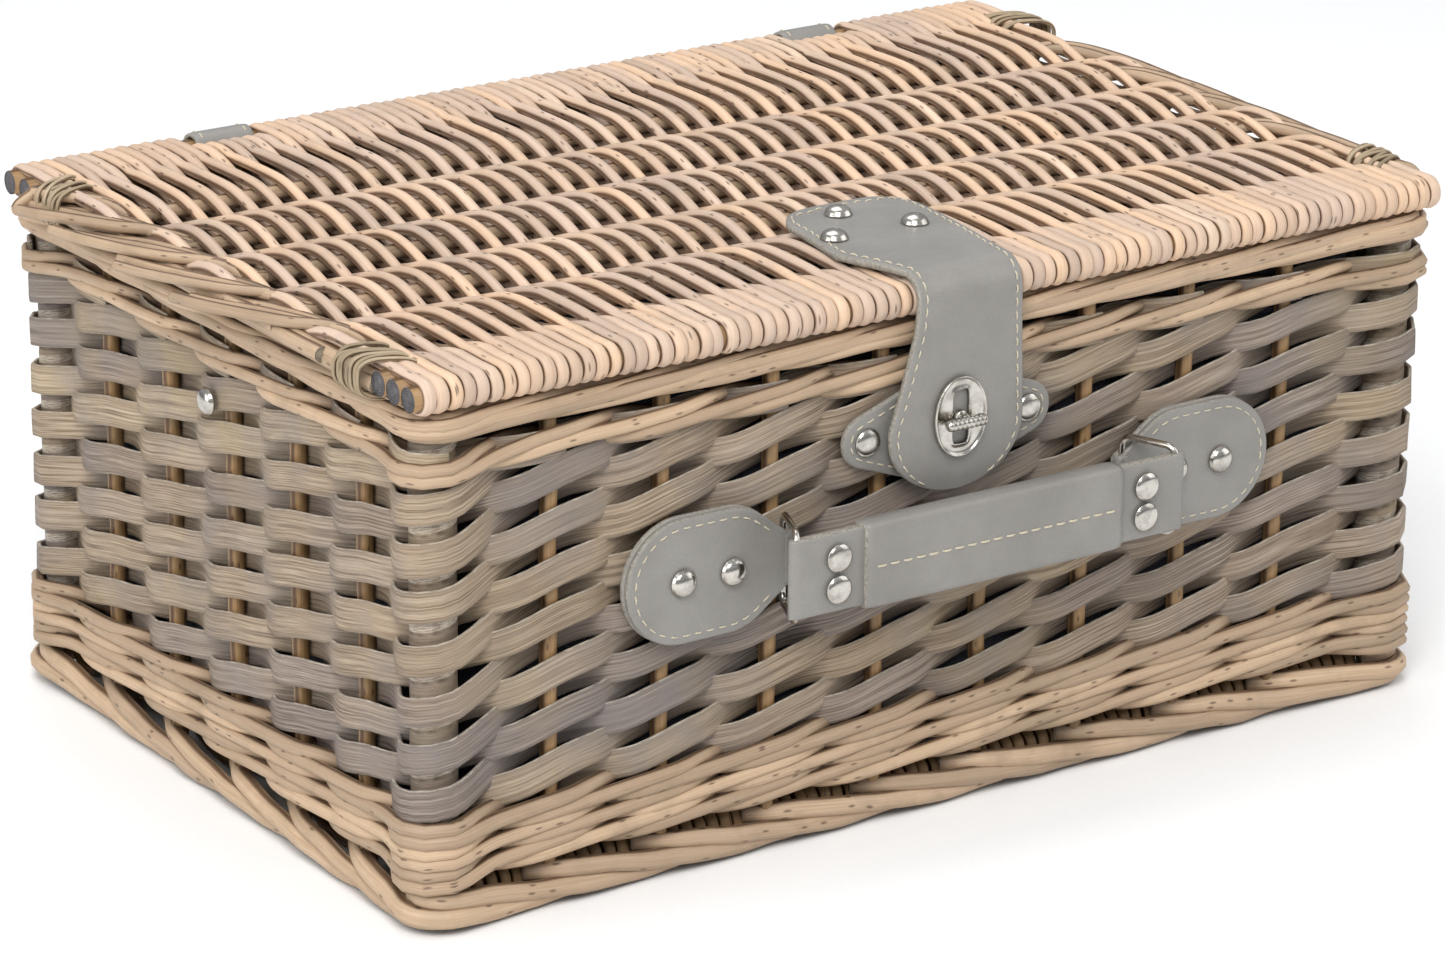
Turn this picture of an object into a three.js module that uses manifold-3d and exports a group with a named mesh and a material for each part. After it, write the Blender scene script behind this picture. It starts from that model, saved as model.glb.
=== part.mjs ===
// A wicker picnic hamper: a woven willow basket with a woven lid, leather fittings and a turn lock.
// Millimetres, +Z up, X along the length, the front (lock and handle) towards -Y.
// The origin is the middle of the underside. Left and right are as seen from the front.
import * as THREE from 'three';
import { mergeVertices } from 'three/addons/utils/BufferGeometryUtils.js';
import Module from 'manifold-3d';

// ---- Driving dimensions ----
const GAP = 0.3; // between pieces that touch

// basket
const BODY_LENGTH = 424; // strip weave, outside
const BODY_DEPTH = 281;
const WALL = 11; // strips and stakes together
const CORNER_RADIUS = 11;
const BASE_THICKNESS = 16;
const FOOT_HEIGHT = 12.5;
const LOWER_WALE_HEIGHT = 28.9;
const STRIP_HEIGHT = 118;
const UPPER_WALE_HEIGHT = 12.7;
const RIM_HEIGHT = 10.4;
const RIM_WIDTH = 10;
const FOOT_BULGE = 3; // how far each border stands out past the strips
const WALE_BULGE = 1.5;
const RIM_BULGE = 2;
const POST_RADIUS = 8;
const STRIP_THICKNESS = 2.5;
const LINING_THICKNESS = 2;
const LINING_CORNER = 32;
const LINING_DROP = 2; // its top edge below the rim

// lid
const ROD_RADIUS = 4.5;
const WRAP = 1.5; // weavers wrapped round the rods
const LID_ROD_OVERHANG = 5; // past the strip weave, at each end
const LID_WEAVE_OVERHANG = 1;
const LID_OVERHANG = 2.2; // past the rim, front and back
const LID_STAKE_RADIUS = 3;
const LID_STAKES = 5;
const END_BORDER_WIDTH = 14;
const END_BORDER_INSET = 6; // where the end borders start, inside the strip weave's ends
const BINDING_WIDTH = 11;

// leather
const LEATHER = 3;
const TAB_LEATHER = 5; // two layers
const BACKING_LEATHER = 2.5;
const HINGE_LEATHER = 2;
const HINGE_LOOP_WIDTH = 24;
const HINGE_LOOP_X = 130;

// flap and turn lock
const FLAP_X = -4;
const FLAP_SLACK = 1.3; // between the lid's weave and the flap
const FLAP_HEAD_BACK = 64; // how far the head's back edge is in front of the middle
const FLAP_HEAD_HALF = 27;
const FLAP_NECK_HALF = 22;
const FLAP_LOBE_HALF = 27.5;
const FLAP_DROP = 65.6; // below the fold
const FLAP_LOBE_RISE = 21; // height of its rounded end
const FLAP_RIVETS = [['back', 0, 12], ['left', -17, 34], ['right', 17, 34]]; // across, from the back
const FLAP_CORNER = 14; // radius of the head's back corners
const LOCK_DROP = 43; // lock centre below the fold
const PLATE_WIDTH = 22;
const PLATE_HEIGHT = 29;
const PLATE_THICKNESS = 2;
const SLOT_WIDTH = 6.8;
const SLOT_HEIGHT = 19.5;
const BACKING_HALF_HEIGHT = 17;
const BACKING_RIVET_X = 34; // each side of the lock
const BACKING_POINT = 9.5; // radius of the leaf's ends
const BACKING_MIDDLE = 12; // the full height runs this far each side
const TURN_BAR_LENGTH = 17;
const TURN_BAR_RADIUS = 2.25;
const COLLAR_RADIUS = 2.7;
const LOCK_FOOT_WIDTH = 18;
const LOCK_FOOT_HEIGHT = 24;
const LOCK_FOOT_THICKNESS = 1.2;

// handle
const HANDLE_HEIGHT = 108.6; // height of its centre line
const HANDLE_LENGTH = 166.6;
const HANDLE_STRAP_HEIGHT = 28;
const HANDLE_LEATHER = 5; // two layers
const HANDLE_STANDOFF = 20.2; // centre line of the handle in front of the tabs' ring bores
const GRIP_LENGTH = 108;
const GRIP_HEIGHT = 31;
const GRIP_LEATHER = 2;
const HANDLE_RIVET_X = 11; // past the grip's end
const HANDLE_RIVET_Z = 5.6; // above and below the centre line
const TAB_SPACING = 144; // between the tabs' ring bores
const TAB_LENGTH = 67.25;
const TAB_HEIGHT = 45;
const TAB_LOBE = 18; // the full height runs this far
const TAB_RIVETS = [22, 42]; // from the ring bore, away from the handle
const TAB_END_STEP = 10; // the tab's narrow end is this much lower than the handle's strap
const BORE_WALL = 1.6; // leather past a ring bore, as a piece of solid stock
const RING_LEG_SPARE = 0.8; // the ring stands this far above and below the strap
const WIRE_RADIUS = 1.3;
const WIRE_CLEARANCE = 0.35;
const OPEN_PIVOT_CLEARANCE = 0.7; // the right end, where the linkage is opened

// rivets
const RIVET_RADIUS = 4.9;
const RIVET_DOME = 3.2;
const LOW_RIVET_DOME = 2;
const RIVET_SHANK = 1.6;
const STAY_RIVET_DROP = 12; // below the top of the strips

// ---- Heights and faces that follow ----
const bodyX = BODY_LENGTH / 2;
const bodyY = BODY_DEPTH / 2;
const innerX = bodyX - WALL;
const innerY = bodyY - WALL;
const lowerWaleZ = FOOT_HEIGHT + GAP;
const stripZ = lowerWaleZ + LOWER_WALE_HEIGHT + GAP;
const upperWaleZ = stripZ + STRIP_HEIGHT + GAP;
const rimZ = upperWaleZ + UPPER_WALE_HEIGHT + GAP;
const rimTop = rimZ + RIM_HEIGHT;
const rimOuterX = bodyX + RIM_BULGE;
const rimOuterY = bodyY + RIM_BULGE;
const rimInnerY = rimOuterY - RIM_WIDTH;
const rodZ = rimTop + GAP + WRAP + ROD_RADIUS;
const lidHalf = WRAP + ROD_RADIUS; // half of the lid's thickness
const outerRodY = rimOuterY + LID_OVERHANG - lidHalf;
const lidRodX = bodyX + LID_ROD_OVERHANG;
const lidWeaveX = bodyX + LID_WEAVE_OVERHANG;
const endBorderX = bodyX - END_BORDER_INSET;
const bindingThickness = WRAP - GAP;
const rodPitch = 2 * ROD_RADIUS + GAP;
const hingeRodPitch = 2 * ROD_RADIUS + HINGE_LEATHER + 2.6 * GAP; // the hinge loops pass between
const postX = bodyX - STRIP_THICKNESS - POST_RADIUS;
const postY = bodyY - STRIP_THICKNESS - POST_RADIUS;
const ringX = TAB_SPACING / 2;
const tabFaceY = -(bodyY + GAP);
const ringY = tabFaceY - TAB_LEATHER / 2;
const handleY = ringY - HANDLE_STANDOFF;
const foldY = -(outerRodY + lidHalf + FLAP_SLACK + LEATHER); // outer face of the hanging flap
const lockZ = rodZ - LOCK_DROP;

// ---- Materials: a new one for each mesh ----
const material = (color, roughness, metalness = 0) => () => new THREE.MeshStandardMaterial({
  color, roughness, metalness,
});
const palePeeledWillow = material(0xd2b48f, 0.75);
const tanWillow = material(0xb1966f, 0.75);
const greyWillow = material(0x8f8474, 0.8);
const darkWillow = material(0x85755c, 0.85);
const leather = material(0x868782, 0.55);
const nickel = material(0xc4c2bd, 0.25, 1);
const cloth = material(0x2a2e3a, 0.95);

// ---- Outlines ----
function arc(cx, cy, radiusX, from, to, steps, radiusY = radiusX) {
  const points = [];
  for (let i = 0; i <= steps; i += 1) {
    const angle = THREE.MathUtils.degToRad(from + ((to - from) * i) / steps);
    points.push(new THREE.Vector2(cx + radiusX * Math.cos(angle), cy + radiusY * Math.sin(angle)));
  }
  return points;
}

function ellipse(cx, cy, radiusX, radiusY, steps) {
  return arc(cx, cy, radiusX, 0, 360, steps, radiusY).slice(0, -1);
}

function circle(cx, cy, radius, steps = 12) {
  return ellipse(cx, cy, radius, radius, steps);
}

function roundedRect(x0, x1, y0, y1, radius, steps = 4) {
  return [
    ...arc(x1 - radius, y1 - radius, radius, 0, 90, steps),
    ...arc(x0 + radius, y1 - radius, radius, 90, 180, steps),
    ...arc(x0 + radius, y0 + radius, radius, 180, 270, steps),
    ...arc(x1 - radius, y0 + radius, radius, 270, 360, steps),
  ];
}

// The shortest line round all the points, anticlockwise.
function tightLine(points) {
  const sorted = [...points].sort((a, b) => a.x - b.x || a.y - b.y);
  const turn = (o, a, b) => (a.x - o.x) * (b.y - o.y) - (a.y - o.y) * (b.x - o.x);
  const chain = (list) => {
    const line = [];
    for (const p of list) {
      while (line.length > 1 && turn(line.at(-2), line.at(-1), p) <= 1e-9) line.pop();
      line.push(p);
    }
    return line.slice(0, -1);
  };
  return [...chain(sorted), ...chain(sorted.reverse())];
}

// A soft step from 0 to 1.
const ease = (t) => (1 - Math.cos(Math.PI * t)) / 2;

// A strip whose half width goes from one value to another, as points of its right-hand edge.
function easedEdge(y0, y1, half0, half1, steps = 5) {
  const points = [];
  for (let i = 0; i <= steps; i += 1) {
    const t = i / steps;
    points.push(new THREE.Vector2(half0 + (half1 - half0) * ease(t), y0 + (y1 - y0) * t));
  }
  return points;
}

// Closes a right-hand edge with its mirror image about x = 0, then moves it to x = centre.
function mirrored(edge, centre) {
  const left = [...edge].reverse().map((p) => new THREE.Vector2(-p.x, p.y));
  return [...edge, ...left].map((p) => new THREE.Vector2(p.x + centre, p.y));
}

// ---- Solids ----
function prism(points, holes, depth) {
  const shape = new THREE.Shape(points);
  shape.holes = holes.map((hole) => new THREE.Path(hole));
  return new THREE.ExtrudeGeometry(shape, { depth, bevelEnabled: false, curveSegments: 1 });
}

function alongZ(points, z0, z1, holes = []) {
  return prism(points, holes, z1 - z0).translate(0, 0, z0);
}

// The outline is drawn in X and Z.
function alongY(points, y0, y1, holes = []) {
  return prism(points, holes, y1 - y0).rotateX(Math.PI / 2).translate(0, y1, 0);
}

// The outline is drawn in Y and Z.
function alongX(points, x0, x1, holes = []) {
  const turn = new THREE.Matrix4().makeBasis(
    new THREE.Vector3(0, 1, 0),
    new THREE.Vector3(0, 0, 1),
    new THREE.Vector3(1, 0, 0),
  );
  return prism(points, holes, x1 - x0).applyMatrix4(turn).translate(x0, 0, 0);
}

function box(x0, x1, y0, y1, z0, z1) {
  const block = new THREE.BoxGeometry(x1 - x0, y1 - y0, z1 - z0);
  return block.translate((x0 + x1) / 2, (y0 + y1) / 2, (z0 + z1) / 2);
}

const wasm = await Module();
wasm.setup();

function toSolid(geometry) {
  const bare = geometry.clone();
  bare.deleteAttribute('normal');
  bare.deleteAttribute('uv');
  const merged = mergeVertices(bare, 1e-4);
  return new wasm.Manifold(new wasm.Mesh({
    numProp: 3,
    vertProperties: new Float32Array(merged.attributes.position.array),
    triVerts: new Uint32Array(merged.index.array),
  }));
}

function toGeometry(solid) {
  const { vertProperties, triVerts } = solid.getMesh();
  const geometry = new THREE.BufferGeometry();
  geometry.setAttribute('position', new THREE.Float32BufferAttribute(vertProperties, 3));
  geometry.setIndex(Array.from(triVerts));
  return geometry;
}

function cut(geometry, tools) {
  return toGeometry(tools.reduce((solid, tool) => solid.subtract(toSolid(tool)), toSolid(geometry)));
}

function join(...geometries) {
  return toGeometry(geometries.map(toSolid).reduce((a, b) => a.add(b)));
}

function piece(group, name, geometry, makeMaterial) {
  const mesh = new THREE.Mesh(geometry, makeMaterial());
  mesh.name = name;
  group.add(mesh);
  return mesh;
}

// ---- Rivets: a domed head and a short shank, with the head towards +Y of its own frame ----
function rivetGeometry(dome, shank) {
  const head = [];
  for (let i = 0; i <= 4; i += 1) {
    const angle = (Math.PI / 2) * (i / 4);
    head.push(new THREE.Vector2(RIVET_RADIUS * Math.cos(angle), dome * Math.sin(angle)));
  }
  head[4].x = 0;
  const foot = [new THREE.Vector2(0, -shank), new THREE.Vector2(RIVET_SHANK, -shank)];
  return new THREE.LatheGeometry([...foot, new THREE.Vector2(RIVET_SHANK, 0), ...head], 12);
}

const OUTWARD = {
  front: [Math.PI, 0, 0],
  up: [Math.PI / 2, 0, 0],
  left: [0, 0, Math.PI / 2],
};

function rivet(group, name, direction, x, y, z, dome = RIVET_DOME, shank = GAP) {
  const mesh = piece(group, name, rivetGeometry(dome, shank), nickel);
  mesh.rotation.set(...OUTWARD[direction]);
  mesh.position.set(x, y, z);
}

const shankHole = (x, y) => circle(x, y, RIVET_SHANK + GAP, 10);

// ---- Basket ----
const basket = new THREE.Group();

function wallRing(bulge, width, z0, z1) {
  const x = bodyX + bulge;
  const y = bodyY + bulge;
  const outer = roundedRect(-x, x, -y, y, CORNER_RADIUS + bulge);
  const inner = roundedRect(-x + width, x - width, -y + width, y - width, 2, 2);
  return alongZ(outer, z0, z1, [inner]);
}

const CORNERS = [
  ['front_left', -1, -1],
  ['front_right', 1, -1],
  ['back_left', -1, 1],
  ['back_right', 1, 1],
];

const postBottom = BASE_THICKNESS + GAP;
const postTop = rimZ - GAP;
const postPockets = CORNERS.map(([, sx, sy]) => (
  alongZ(circle(sx * postX, sy * postY, POST_RADIUS + GAP, 16), postBottom - GAP, rimZ + GAP)
));

// A hinge loop goes round the outermost rear rod and the rim.
function hingeLine(offset) {
  const radius = ROD_RADIUS + GAP + offset;
  return tightLine([
    ...circle(outerRodY, rodZ, radius, 24),
    new THREE.Vector2(rimInnerY - GAP - offset, rimTop + GAP),
    new THREE.Vector2(rimInnerY - GAP - offset, rimZ - GAP - offset),
    new THREE.Vector2(rimOuterY + GAP + offset, rimZ - GAP - offset),
  ]);
}

const hingeLoops = [['left', -HINGE_LOOP_X], ['right', HINGE_LOOP_X]];
const loopNotches = (grow) => hingeLoops.map(([, x]) => {
  const half = HINGE_LOOP_WIDTH / 2 + GAP;
  return alongX(hingeLine(HINGE_LEATHER + grow), x - half, x + half);
});

const baseX = innerX - GAP;
const baseY = innerY - GAP;
piece(basket, 'base_panel',
  alongZ(roundedRect(-baseX, baseX, -baseY, baseY, 4), 0, BASE_THICKNESS), palePeeledWillow);
piece(basket, 'foot_border', wallRing(FOOT_BULGE, WALL + FOOT_BULGE, 0, FOOT_HEIGHT), tanWillow);
piece(basket, 'lower_wale', cut(
  wallRing(WALE_BULGE, WALL + WALE_BULGE, lowerWaleZ, lowerWaleZ + LOWER_WALE_HEIGHT),
  postPockets,
), tanWillow);
piece(basket, 'strip_weave', cut(
  wallRing(0, WALL, stripZ, stripZ + STRIP_HEIGHT),
  postPockets,
), greyWillow);
piece(basket, 'upper_wale', cut(
  wallRing(WALE_BULGE, WALL + WALE_BULGE, upperWaleZ, upperWaleZ + UPPER_WALE_HEIGHT),
  [...postPockets, ...loopNotches(GAP)],
), tanWillow);
piece(basket, 'rim_border', wallRing(RIM_BULGE, RIM_WIDTH, rimZ, rimTop), tanWillow);
for (const [corner, sx, sy] of CORNERS) {
  const post = alongZ(circle(0, 0, POST_RADIUS, 16), postBottom, postTop);
  piece(basket, `corner_post_${corner}`, post, darkWillow).position.set(sx * postX, sy * postY, 0);
}

// The lining is an open tub, far enough inside the rim for the hinge loops.
const liningX = rimOuterX - RIM_WIDTH - HINGE_LEATHER - 6 * GAP;
const liningY = rimInnerY - HINGE_LEATHER - 6 * GAP;
const linedX = liningX - LINING_THICKNESS;
const linedY = liningY - LINING_THICKNESS;
piece(basket, 'cloth_lining', cut(
  alongZ(
    roundedRect(-liningX, liningX, -liningY, liningY, LINING_CORNER, 6),
    postBottom,
    rimTop - LINING_DROP,
  ),
  [alongZ(
    roundedRect(-linedX, linedX, -linedY, linedY, LINING_CORNER - LINING_THICKNESS, 6),
    postBottom + LINING_THICKNESS,
    rimTop,
  )],
), cloth);

for (const [side, x] of hingeLoops) {
  const half = HINGE_LOOP_WIDTH / 2;
  const loop = alongX(hingeLine(HINGE_LEATHER), x - half, x + half, [hingeLine(0)]);
  piece(basket, `hinge_loop_${side}`, loop, leather);
}

rivet(basket, 'stay_rivet', 'left', -bodyX - 2 * GAP, 0, stripZ + STRIP_HEIGHT - STAY_RIVET_DROP);

// ---- Lock on the basket's front ----
const backingFaceY = tabFaceY - BACKING_LEATHER;
const backingZ = upperWaleZ - GAP - BACKING_HALF_HEIGHT;
const backingRivets = [['left', FLAP_X - BACKING_RIVET_X], ['right', FLAP_X + BACKING_RIVET_X]];
const backing = tightLine([-1, 1].flatMap((sign) => [
  ...circle(FLAP_X + sign * BACKING_RIVET_X, backingZ, BACKING_POINT, 16),
  ...circle(FLAP_X + sign * BACKING_MIDDLE, backingZ, BACKING_HALF_HEIGHT, 24),
]));
const backingHoles = backingRivets.map(([, x]) => shankHole(x, backingZ));
piece(basket, 'lock_backing', alongY(backing, backingFaceY, tabFaceY, backingHoles), leather);
for (const [side, x] of backingRivets) {
  rivet(basket, `lock_backing_rivet_${side}`, 'front', x, backingFaceY - GAP, backingZ,
    RIVET_DOME - 1, BACKING_LEATHER);
}

const flapBackY = foldY + LEATHER;
const plateFaceY = foldY - GAP - PLATE_THICKNESS;
const barBackY = plateFaceY - 2 * GAP;
const barY = barBackY - TURN_BAR_RADIUS;
const lockFootY = backingFaceY - GAP;
piece(basket, 'lock_base', join(
  alongY(
    ellipse(FLAP_X, lockZ, LOCK_FOOT_WIDTH / 2, LOCK_FOOT_HEIGHT / 2, 20),
    lockFootY - LOCK_FOOT_THICKNESS,
    lockFootY,
  ),
  alongY(circle(FLAP_X, lockZ, COLLAR_RADIUS), barBackY + GAP, lockFootY - LOCK_FOOT_THICKNESS / 2),
), nickel);

const knob = new THREE.Group();
const bar = alongX(
  circle(barY, lockZ, TURN_BAR_RADIUS),
  FLAP_X - TURN_BAR_LENGTH / 2,
  FLAP_X + TURN_BAR_LENGTH / 2,
);
const hub = alongY(circle(FLAP_X, lockZ, COLLAR_RADIUS), barY - TURN_BAR_RADIUS, barBackY);
piece(knob, 'turn_knob', join(bar, hub), nickel);

// ---- Handle ----
const boreHalf = WIRE_RADIUS + WIRE_CLEARANCE;
const tabEndHeight = HANDLE_STRAP_HEIGHT - TAB_END_STEP; // clear of the ring as it swings

for (const [side, sign] of [['left', -1], ['right', 1]]) {
  const end = ringX - boreHalf - BORE_WALL; // inner end of the tab, from the middle
  const far = end + TAB_LENGTH;
  const radius = TAB_HEIGHT / 2;
  const points = tightLine([
    ...circle(sign * (far - radius), HANDLE_HEIGHT, radius, 24),
    ...circle(sign * (far - radius - TAB_LOBE), HANDLE_HEIGHT, radius, 24),
    new THREE.Vector2(sign * end, HANDLE_HEIGHT - tabEndHeight / 2),
    new THREE.Vector2(sign * end, HANDLE_HEIGHT + tabEndHeight / 2),
  ]);
  const rivetsX = TAB_RIVETS.map((offset) => sign * (ringX + offset));
  const holes = rivetsX.map((x) => shankHole(x, HANDLE_HEIGHT));
  const bore = alongZ(
    circle(sign * ringX, ringY, boreHalf, 10),
    HANDLE_HEIGHT - TAB_HEIGHT,
    HANDLE_HEIGHT + TAB_HEIGHT,
  );
  const tab = cut(alongY(points, tabFaceY - TAB_LEATHER, tabFaceY, holes), [bore]);
  piece(basket, `handle_tab_${side}`, tab, leather);
  rivetsX.forEach((x, i) => {
    const place = i === 0 ? 'inner' : 'outer';
    rivet(basket, `handle_tab_rivet_${side}_${place}`, 'front', x, tabFaceY - TAB_LEATHER - GAP,
      HANDLE_HEIGHT, RIVET_DOME, TAB_LEATHER);
  });
}

// A rectangular wire ring: two upright legs, in the tab and in the handle, joined above and below.
const boreX = HANDLE_LENGTH / 2 - boreHalf - BORE_WALL; // the handle's bores, from the middle
const legHalf = HANDLE_STRAP_HEIGHT / 2 + RING_LEG_SPARE + WIRE_RADIUS;
function wire(from, to) {
  const way = to.clone().sub(from);
  const length = way.length() + WIRE_RADIUS;
  const rod = new THREE.CylinderGeometry(WIRE_RADIUS, WIRE_RADIUS, length, 8);
  const turn = new THREE.Quaternion().setFromUnitVectors(new THREE.Vector3(0, 1, 0), way.normalize());
  const middle = from.clone().add(to).multiplyScalar(0.5);
  return rod.applyQuaternion(turn).translate(middle.x, middle.y, middle.z);
}

function ringGeometry(sign) {
  const corners = [
    [ringX, ringY, legHalf],
    [boreX, handleY, legHalf],
    [boreX, handleY, -legHalf],
    [ringX, ringY, -legHalf],
  ].map(([x, y, z]) => new THREE.Vector3(sign * x, y, HANDLE_HEIGHT + z));
  return join(...corners.map((corner, i) => wire(corner, corners[(i + 1) % 4])));
}

const ringLeft = new THREE.Group();
const ringRight = new THREE.Group();
piece(ringLeft, 'handle_ring_left', ringGeometry(-1), nickel);
piece(ringRight, 'handle_ring_right', ringGeometry(1), nickel);

const handle = new THREE.Group();
const strapFace = HANDLE_LEATHER / 2;
const handleBores = [
  circle(-boreX, handleY, boreHalf, 10),
  circle(boreX, handleY, WIRE_RADIUS + OPEN_PIVOT_CLEARANCE, 10),
];
const strapZ = [HANDLE_HEIGHT - HANDLE_STRAP_HEIGHT / 2, HANDLE_HEIGHT + HANDLE_STRAP_HEIGHT / 2];
const strapOutline = roundedRect(-HANDLE_LENGTH / 2, HANDLE_LENGTH / 2,
  handleY - strapFace, handleY + strapFace, 2, 3);
piece(handle, 'handle_strap', alongZ(strapOutline, ...strapZ, handleBores), leather);

function sleeveOutline(offset) {
  const y = strapFace + GAP + offset;
  const z = GRIP_HEIGHT / 2 - GRIP_LEATHER / 2 + offset / 2;
  const radius = 0.4 + offset * 0.8;
  return roundedRect(handleY - y, handleY + y, HANDLE_HEIGHT - z, HANDLE_HEIGHT + z, radius, 3);
}
piece(handle, 'handle_grip', alongX(sleeveOutline(GRIP_LEATHER), -GRIP_LENGTH / 2, GRIP_LENGTH / 2, [
  sleeveOutline(0),
]), leather);
for (const [side, sign] of [['left', -1], ['right', 1]]) {
  for (const [place, up] of [['upper', 1], ['lower', -1]]) {
    const x = sign * (GRIP_LENGTH / 2 + HANDLE_RIVET_X);
    rivet(handle, `handle_rivet_${side}_${place}`, 'front', x, handleY - strapFace - 2 * GAP,
      HANDLE_HEIGHT + up * HANDLE_RIVET_Z, LOW_RIVET_DOME);
  }
}

// ---- Lid ----
const lid = new THREE.Group();
const frontRods = [0, 1, 2].map((i) => -outerRodY + i * rodPitch);
const backRods = [outerRodY, outerRodY - hingeRodPitch, outerRodY - hingeRodPitch - rodPitch];
const fieldFront = frontRods[2] + lidHalf; // where the bundles' wraps end and the field starts
const fieldBack = backRods[2] - lidHalf;
const rodTunnel = (outer, inner) => tightLine([
  ...circle(outer, rodZ, ROD_RADIUS + GAP, 16),
  ...circle(inner, rodZ, ROD_RADIUS + GAP, 16),
]);
const stakePitch = (fieldBack - fieldFront) / (LID_STAKES + 0.5);
const stakeYs = Array.from({ length: LID_STAKES }, (_, i) => fieldFront + (i + 0.7) * stakePitch);

const lidOutline = tightLine([
  ...circle(-outerRodY, rodZ, lidHalf, 24),
  ...circle(outerRodY, rodZ, lidHalf, 24),
]);
const lidHoles = [
  rodTunnel(frontRods[0], frontRods[2]),
  rodTunnel(backRods[0], backRods[2]),
  ...stakeYs.map((y) => circle(y, rodZ, LID_STAKE_RADIUS + GAP, 10)),
];
const bindingGap = bindingThickness + 2 * GAP;
const lidCuts = loopNotches(2 * GAP);
for (const sign of [-1, 1]) {
  const start = sign * (endBorderX - GAP);
  const outside = sign * BODY_LENGTH;
  lidCuts.push(box(Math.min(start, outside), Math.max(start, outside), fieldFront, fieldBack,
    rodZ - 2 * lidHalf, rodZ + 2 * lidHalf));
  const notch = sign * (endBorderX - bindingGap - GAP);
  for (const [y0, y1] of [
    [fieldFront, fieldFront + BINDING_WIDTH + 4 * GAP],
    [fieldBack - BINDING_WIDTH - 4 * GAP, fieldBack],
  ]) {
    lidCuts.push(box(Math.min(notch, outside), Math.max(notch, outside), y0, y1,
      rodZ - 2 * lidHalf, rodZ + 2 * lidHalf));
  }
}
piece(lid, 'lid_weave', cut(
  alongX(lidOutline, -lidWeaveX, lidWeaveX, lidHoles),
  lidCuts,
), palePeeledWillow);

const rodNames = ['outer', 'middle', 'inner'];
for (const [edge, ys] of [['front', frontRods], ['back', backRods]]) {
  ys.forEach((y, i) => {
    const rod = alongX(circle(0, 0, ROD_RADIUS), -lidRodX, lidRodX);
    piece(lid, `lid_${edge}_rod_${rodNames[i]}`, rod, tanWillow).position.set(0, y, rodZ);
  });
}
stakeYs.forEach((y, i) => {
  const half = endBorderX - 2 * GAP;
  const stake = alongX(circle(0, 0, LID_STAKE_RADIUS, 10), -half, half);
  piece(lid, `lid_stake_${i + 1}`, stake, tanWillow).position.set(0, y, rodZ);
});

for (const [side, sign] of [['left', -1], ['right', 1]]) {
  const near = endBorderX;
  const far = near + END_BORDER_WIDTH;
  const section = (grow) => roundedRect(
    Math.min(sign * (near - grow), sign * (far + grow)),
    Math.max(sign * (near - grow), sign * (far + grow)),
    rodZ - ROD_RADIUS - grow,
    rodZ + ROD_RADIUS + grow,
    2 + grow,
    3,
  );
  piece(lid, `lid_end_border_${side}`, alongY(section(0), fieldFront + GAP, fieldBack - GAP), tanWillow);
  const ring = (y0) => alongY(section(GAP + bindingThickness), y0, y0 + BINDING_WIDTH, [section(GAP)]);
  piece(lid, `corner_binding_front_${side}`, ring(fieldFront + 2 * GAP), darkWillow);
  piece(lid, `corner_binding_back_${side}`, ring(fieldBack - 2 * GAP - BINDING_WIDTH), darkWillow);
}

// ---- Flap: its head is riveted to the lid, and its strap folds at the lid's front edge ----
const headBottom = rodZ + lidHalf + FLAP_SLACK;
const bendInner = lidHalf + FLAP_SLACK;
const headEdge = [
  new THREE.Vector2(FLAP_NECK_HALF, -outerRodY),
  ...easedEdge(-outerRodY + 12, -outerRodY + 28, FLAP_NECK_HALF, FLAP_HEAD_HALF),
  ...arc(FLAP_HEAD_HALF - FLAP_CORNER, -FLAP_HEAD_BACK - FLAP_CORNER, FLAP_CORNER, 0, 90, 5),
];
const headHoles = FLAP_RIVETS.map(([, x, back]) => shankHole(FLAP_X + x, -FLAP_HEAD_BACK - back));
const bend = [
  ...arc(-outerRodY, rodZ, bendInner + LEATHER, 88, 180, 8),
  ...arc(-outerRodY, rodZ, bendInner, 180, 88, 8),
];
piece(lid, 'flap_head', join(
  alongZ(mirrored(headEdge, FLAP_X), headBottom, headBottom + LEATHER, headHoles),
  alongX(bend, FLAP_X - FLAP_NECK_HALF, FLAP_X + FLAP_NECK_HALF),
), leather);
for (const [place, x, back] of FLAP_RIVETS) {
  rivet(lid, `flap_rivet_${place}`, 'up', FLAP_X + x, -FLAP_HEAD_BACK - back,
    headBottom + LEATHER + GAP, RIVET_DOME, LEATHER);
}

const flap = new THREE.Group();
const lobeZ = rodZ - FLAP_DROP + FLAP_LOBE_RISE;
const strapEdge = [
  ...arc(0, lobeZ, FLAP_LOBE_HALF, -90, 0, 8, FLAP_LOBE_RISE).slice(1),
  ...easedEdge(lobeZ + 4, lobeZ + 30, FLAP_LOBE_HALF, FLAP_NECK_HALF),
  new THREE.Vector2(FLAP_NECK_HALF, rodZ - GAP),
];
const slot = (grow) => [[-1, -1], [1, -1], [1, 1], [-1, 1]].map(([across, up]) => new THREE.Vector2(
  FLAP_X + across * (SLOT_WIDTH / 2 + grow),
  lockZ + up * (SLOT_HEIGHT / 2 + grow),
));
piece(flap, 'flap_strap', alongY(mirrored(strapEdge, FLAP_X), foldY, flapBackY, [slot(1)]), leather);
piece(flap, 'lock_plate', alongY(
  ellipse(FLAP_X, lockZ, PLATE_WIDTH / 2, PLATE_HEIGHT / 2, 24),
  plateFaceY,
  foldY - GAP,
  [slot(0)],
), nickel);

const hamper = new THREE.Group();
hamper.add(basket, knob, ringLeft, ringRight, handle, lid, flap);

export default hamper;
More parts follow.
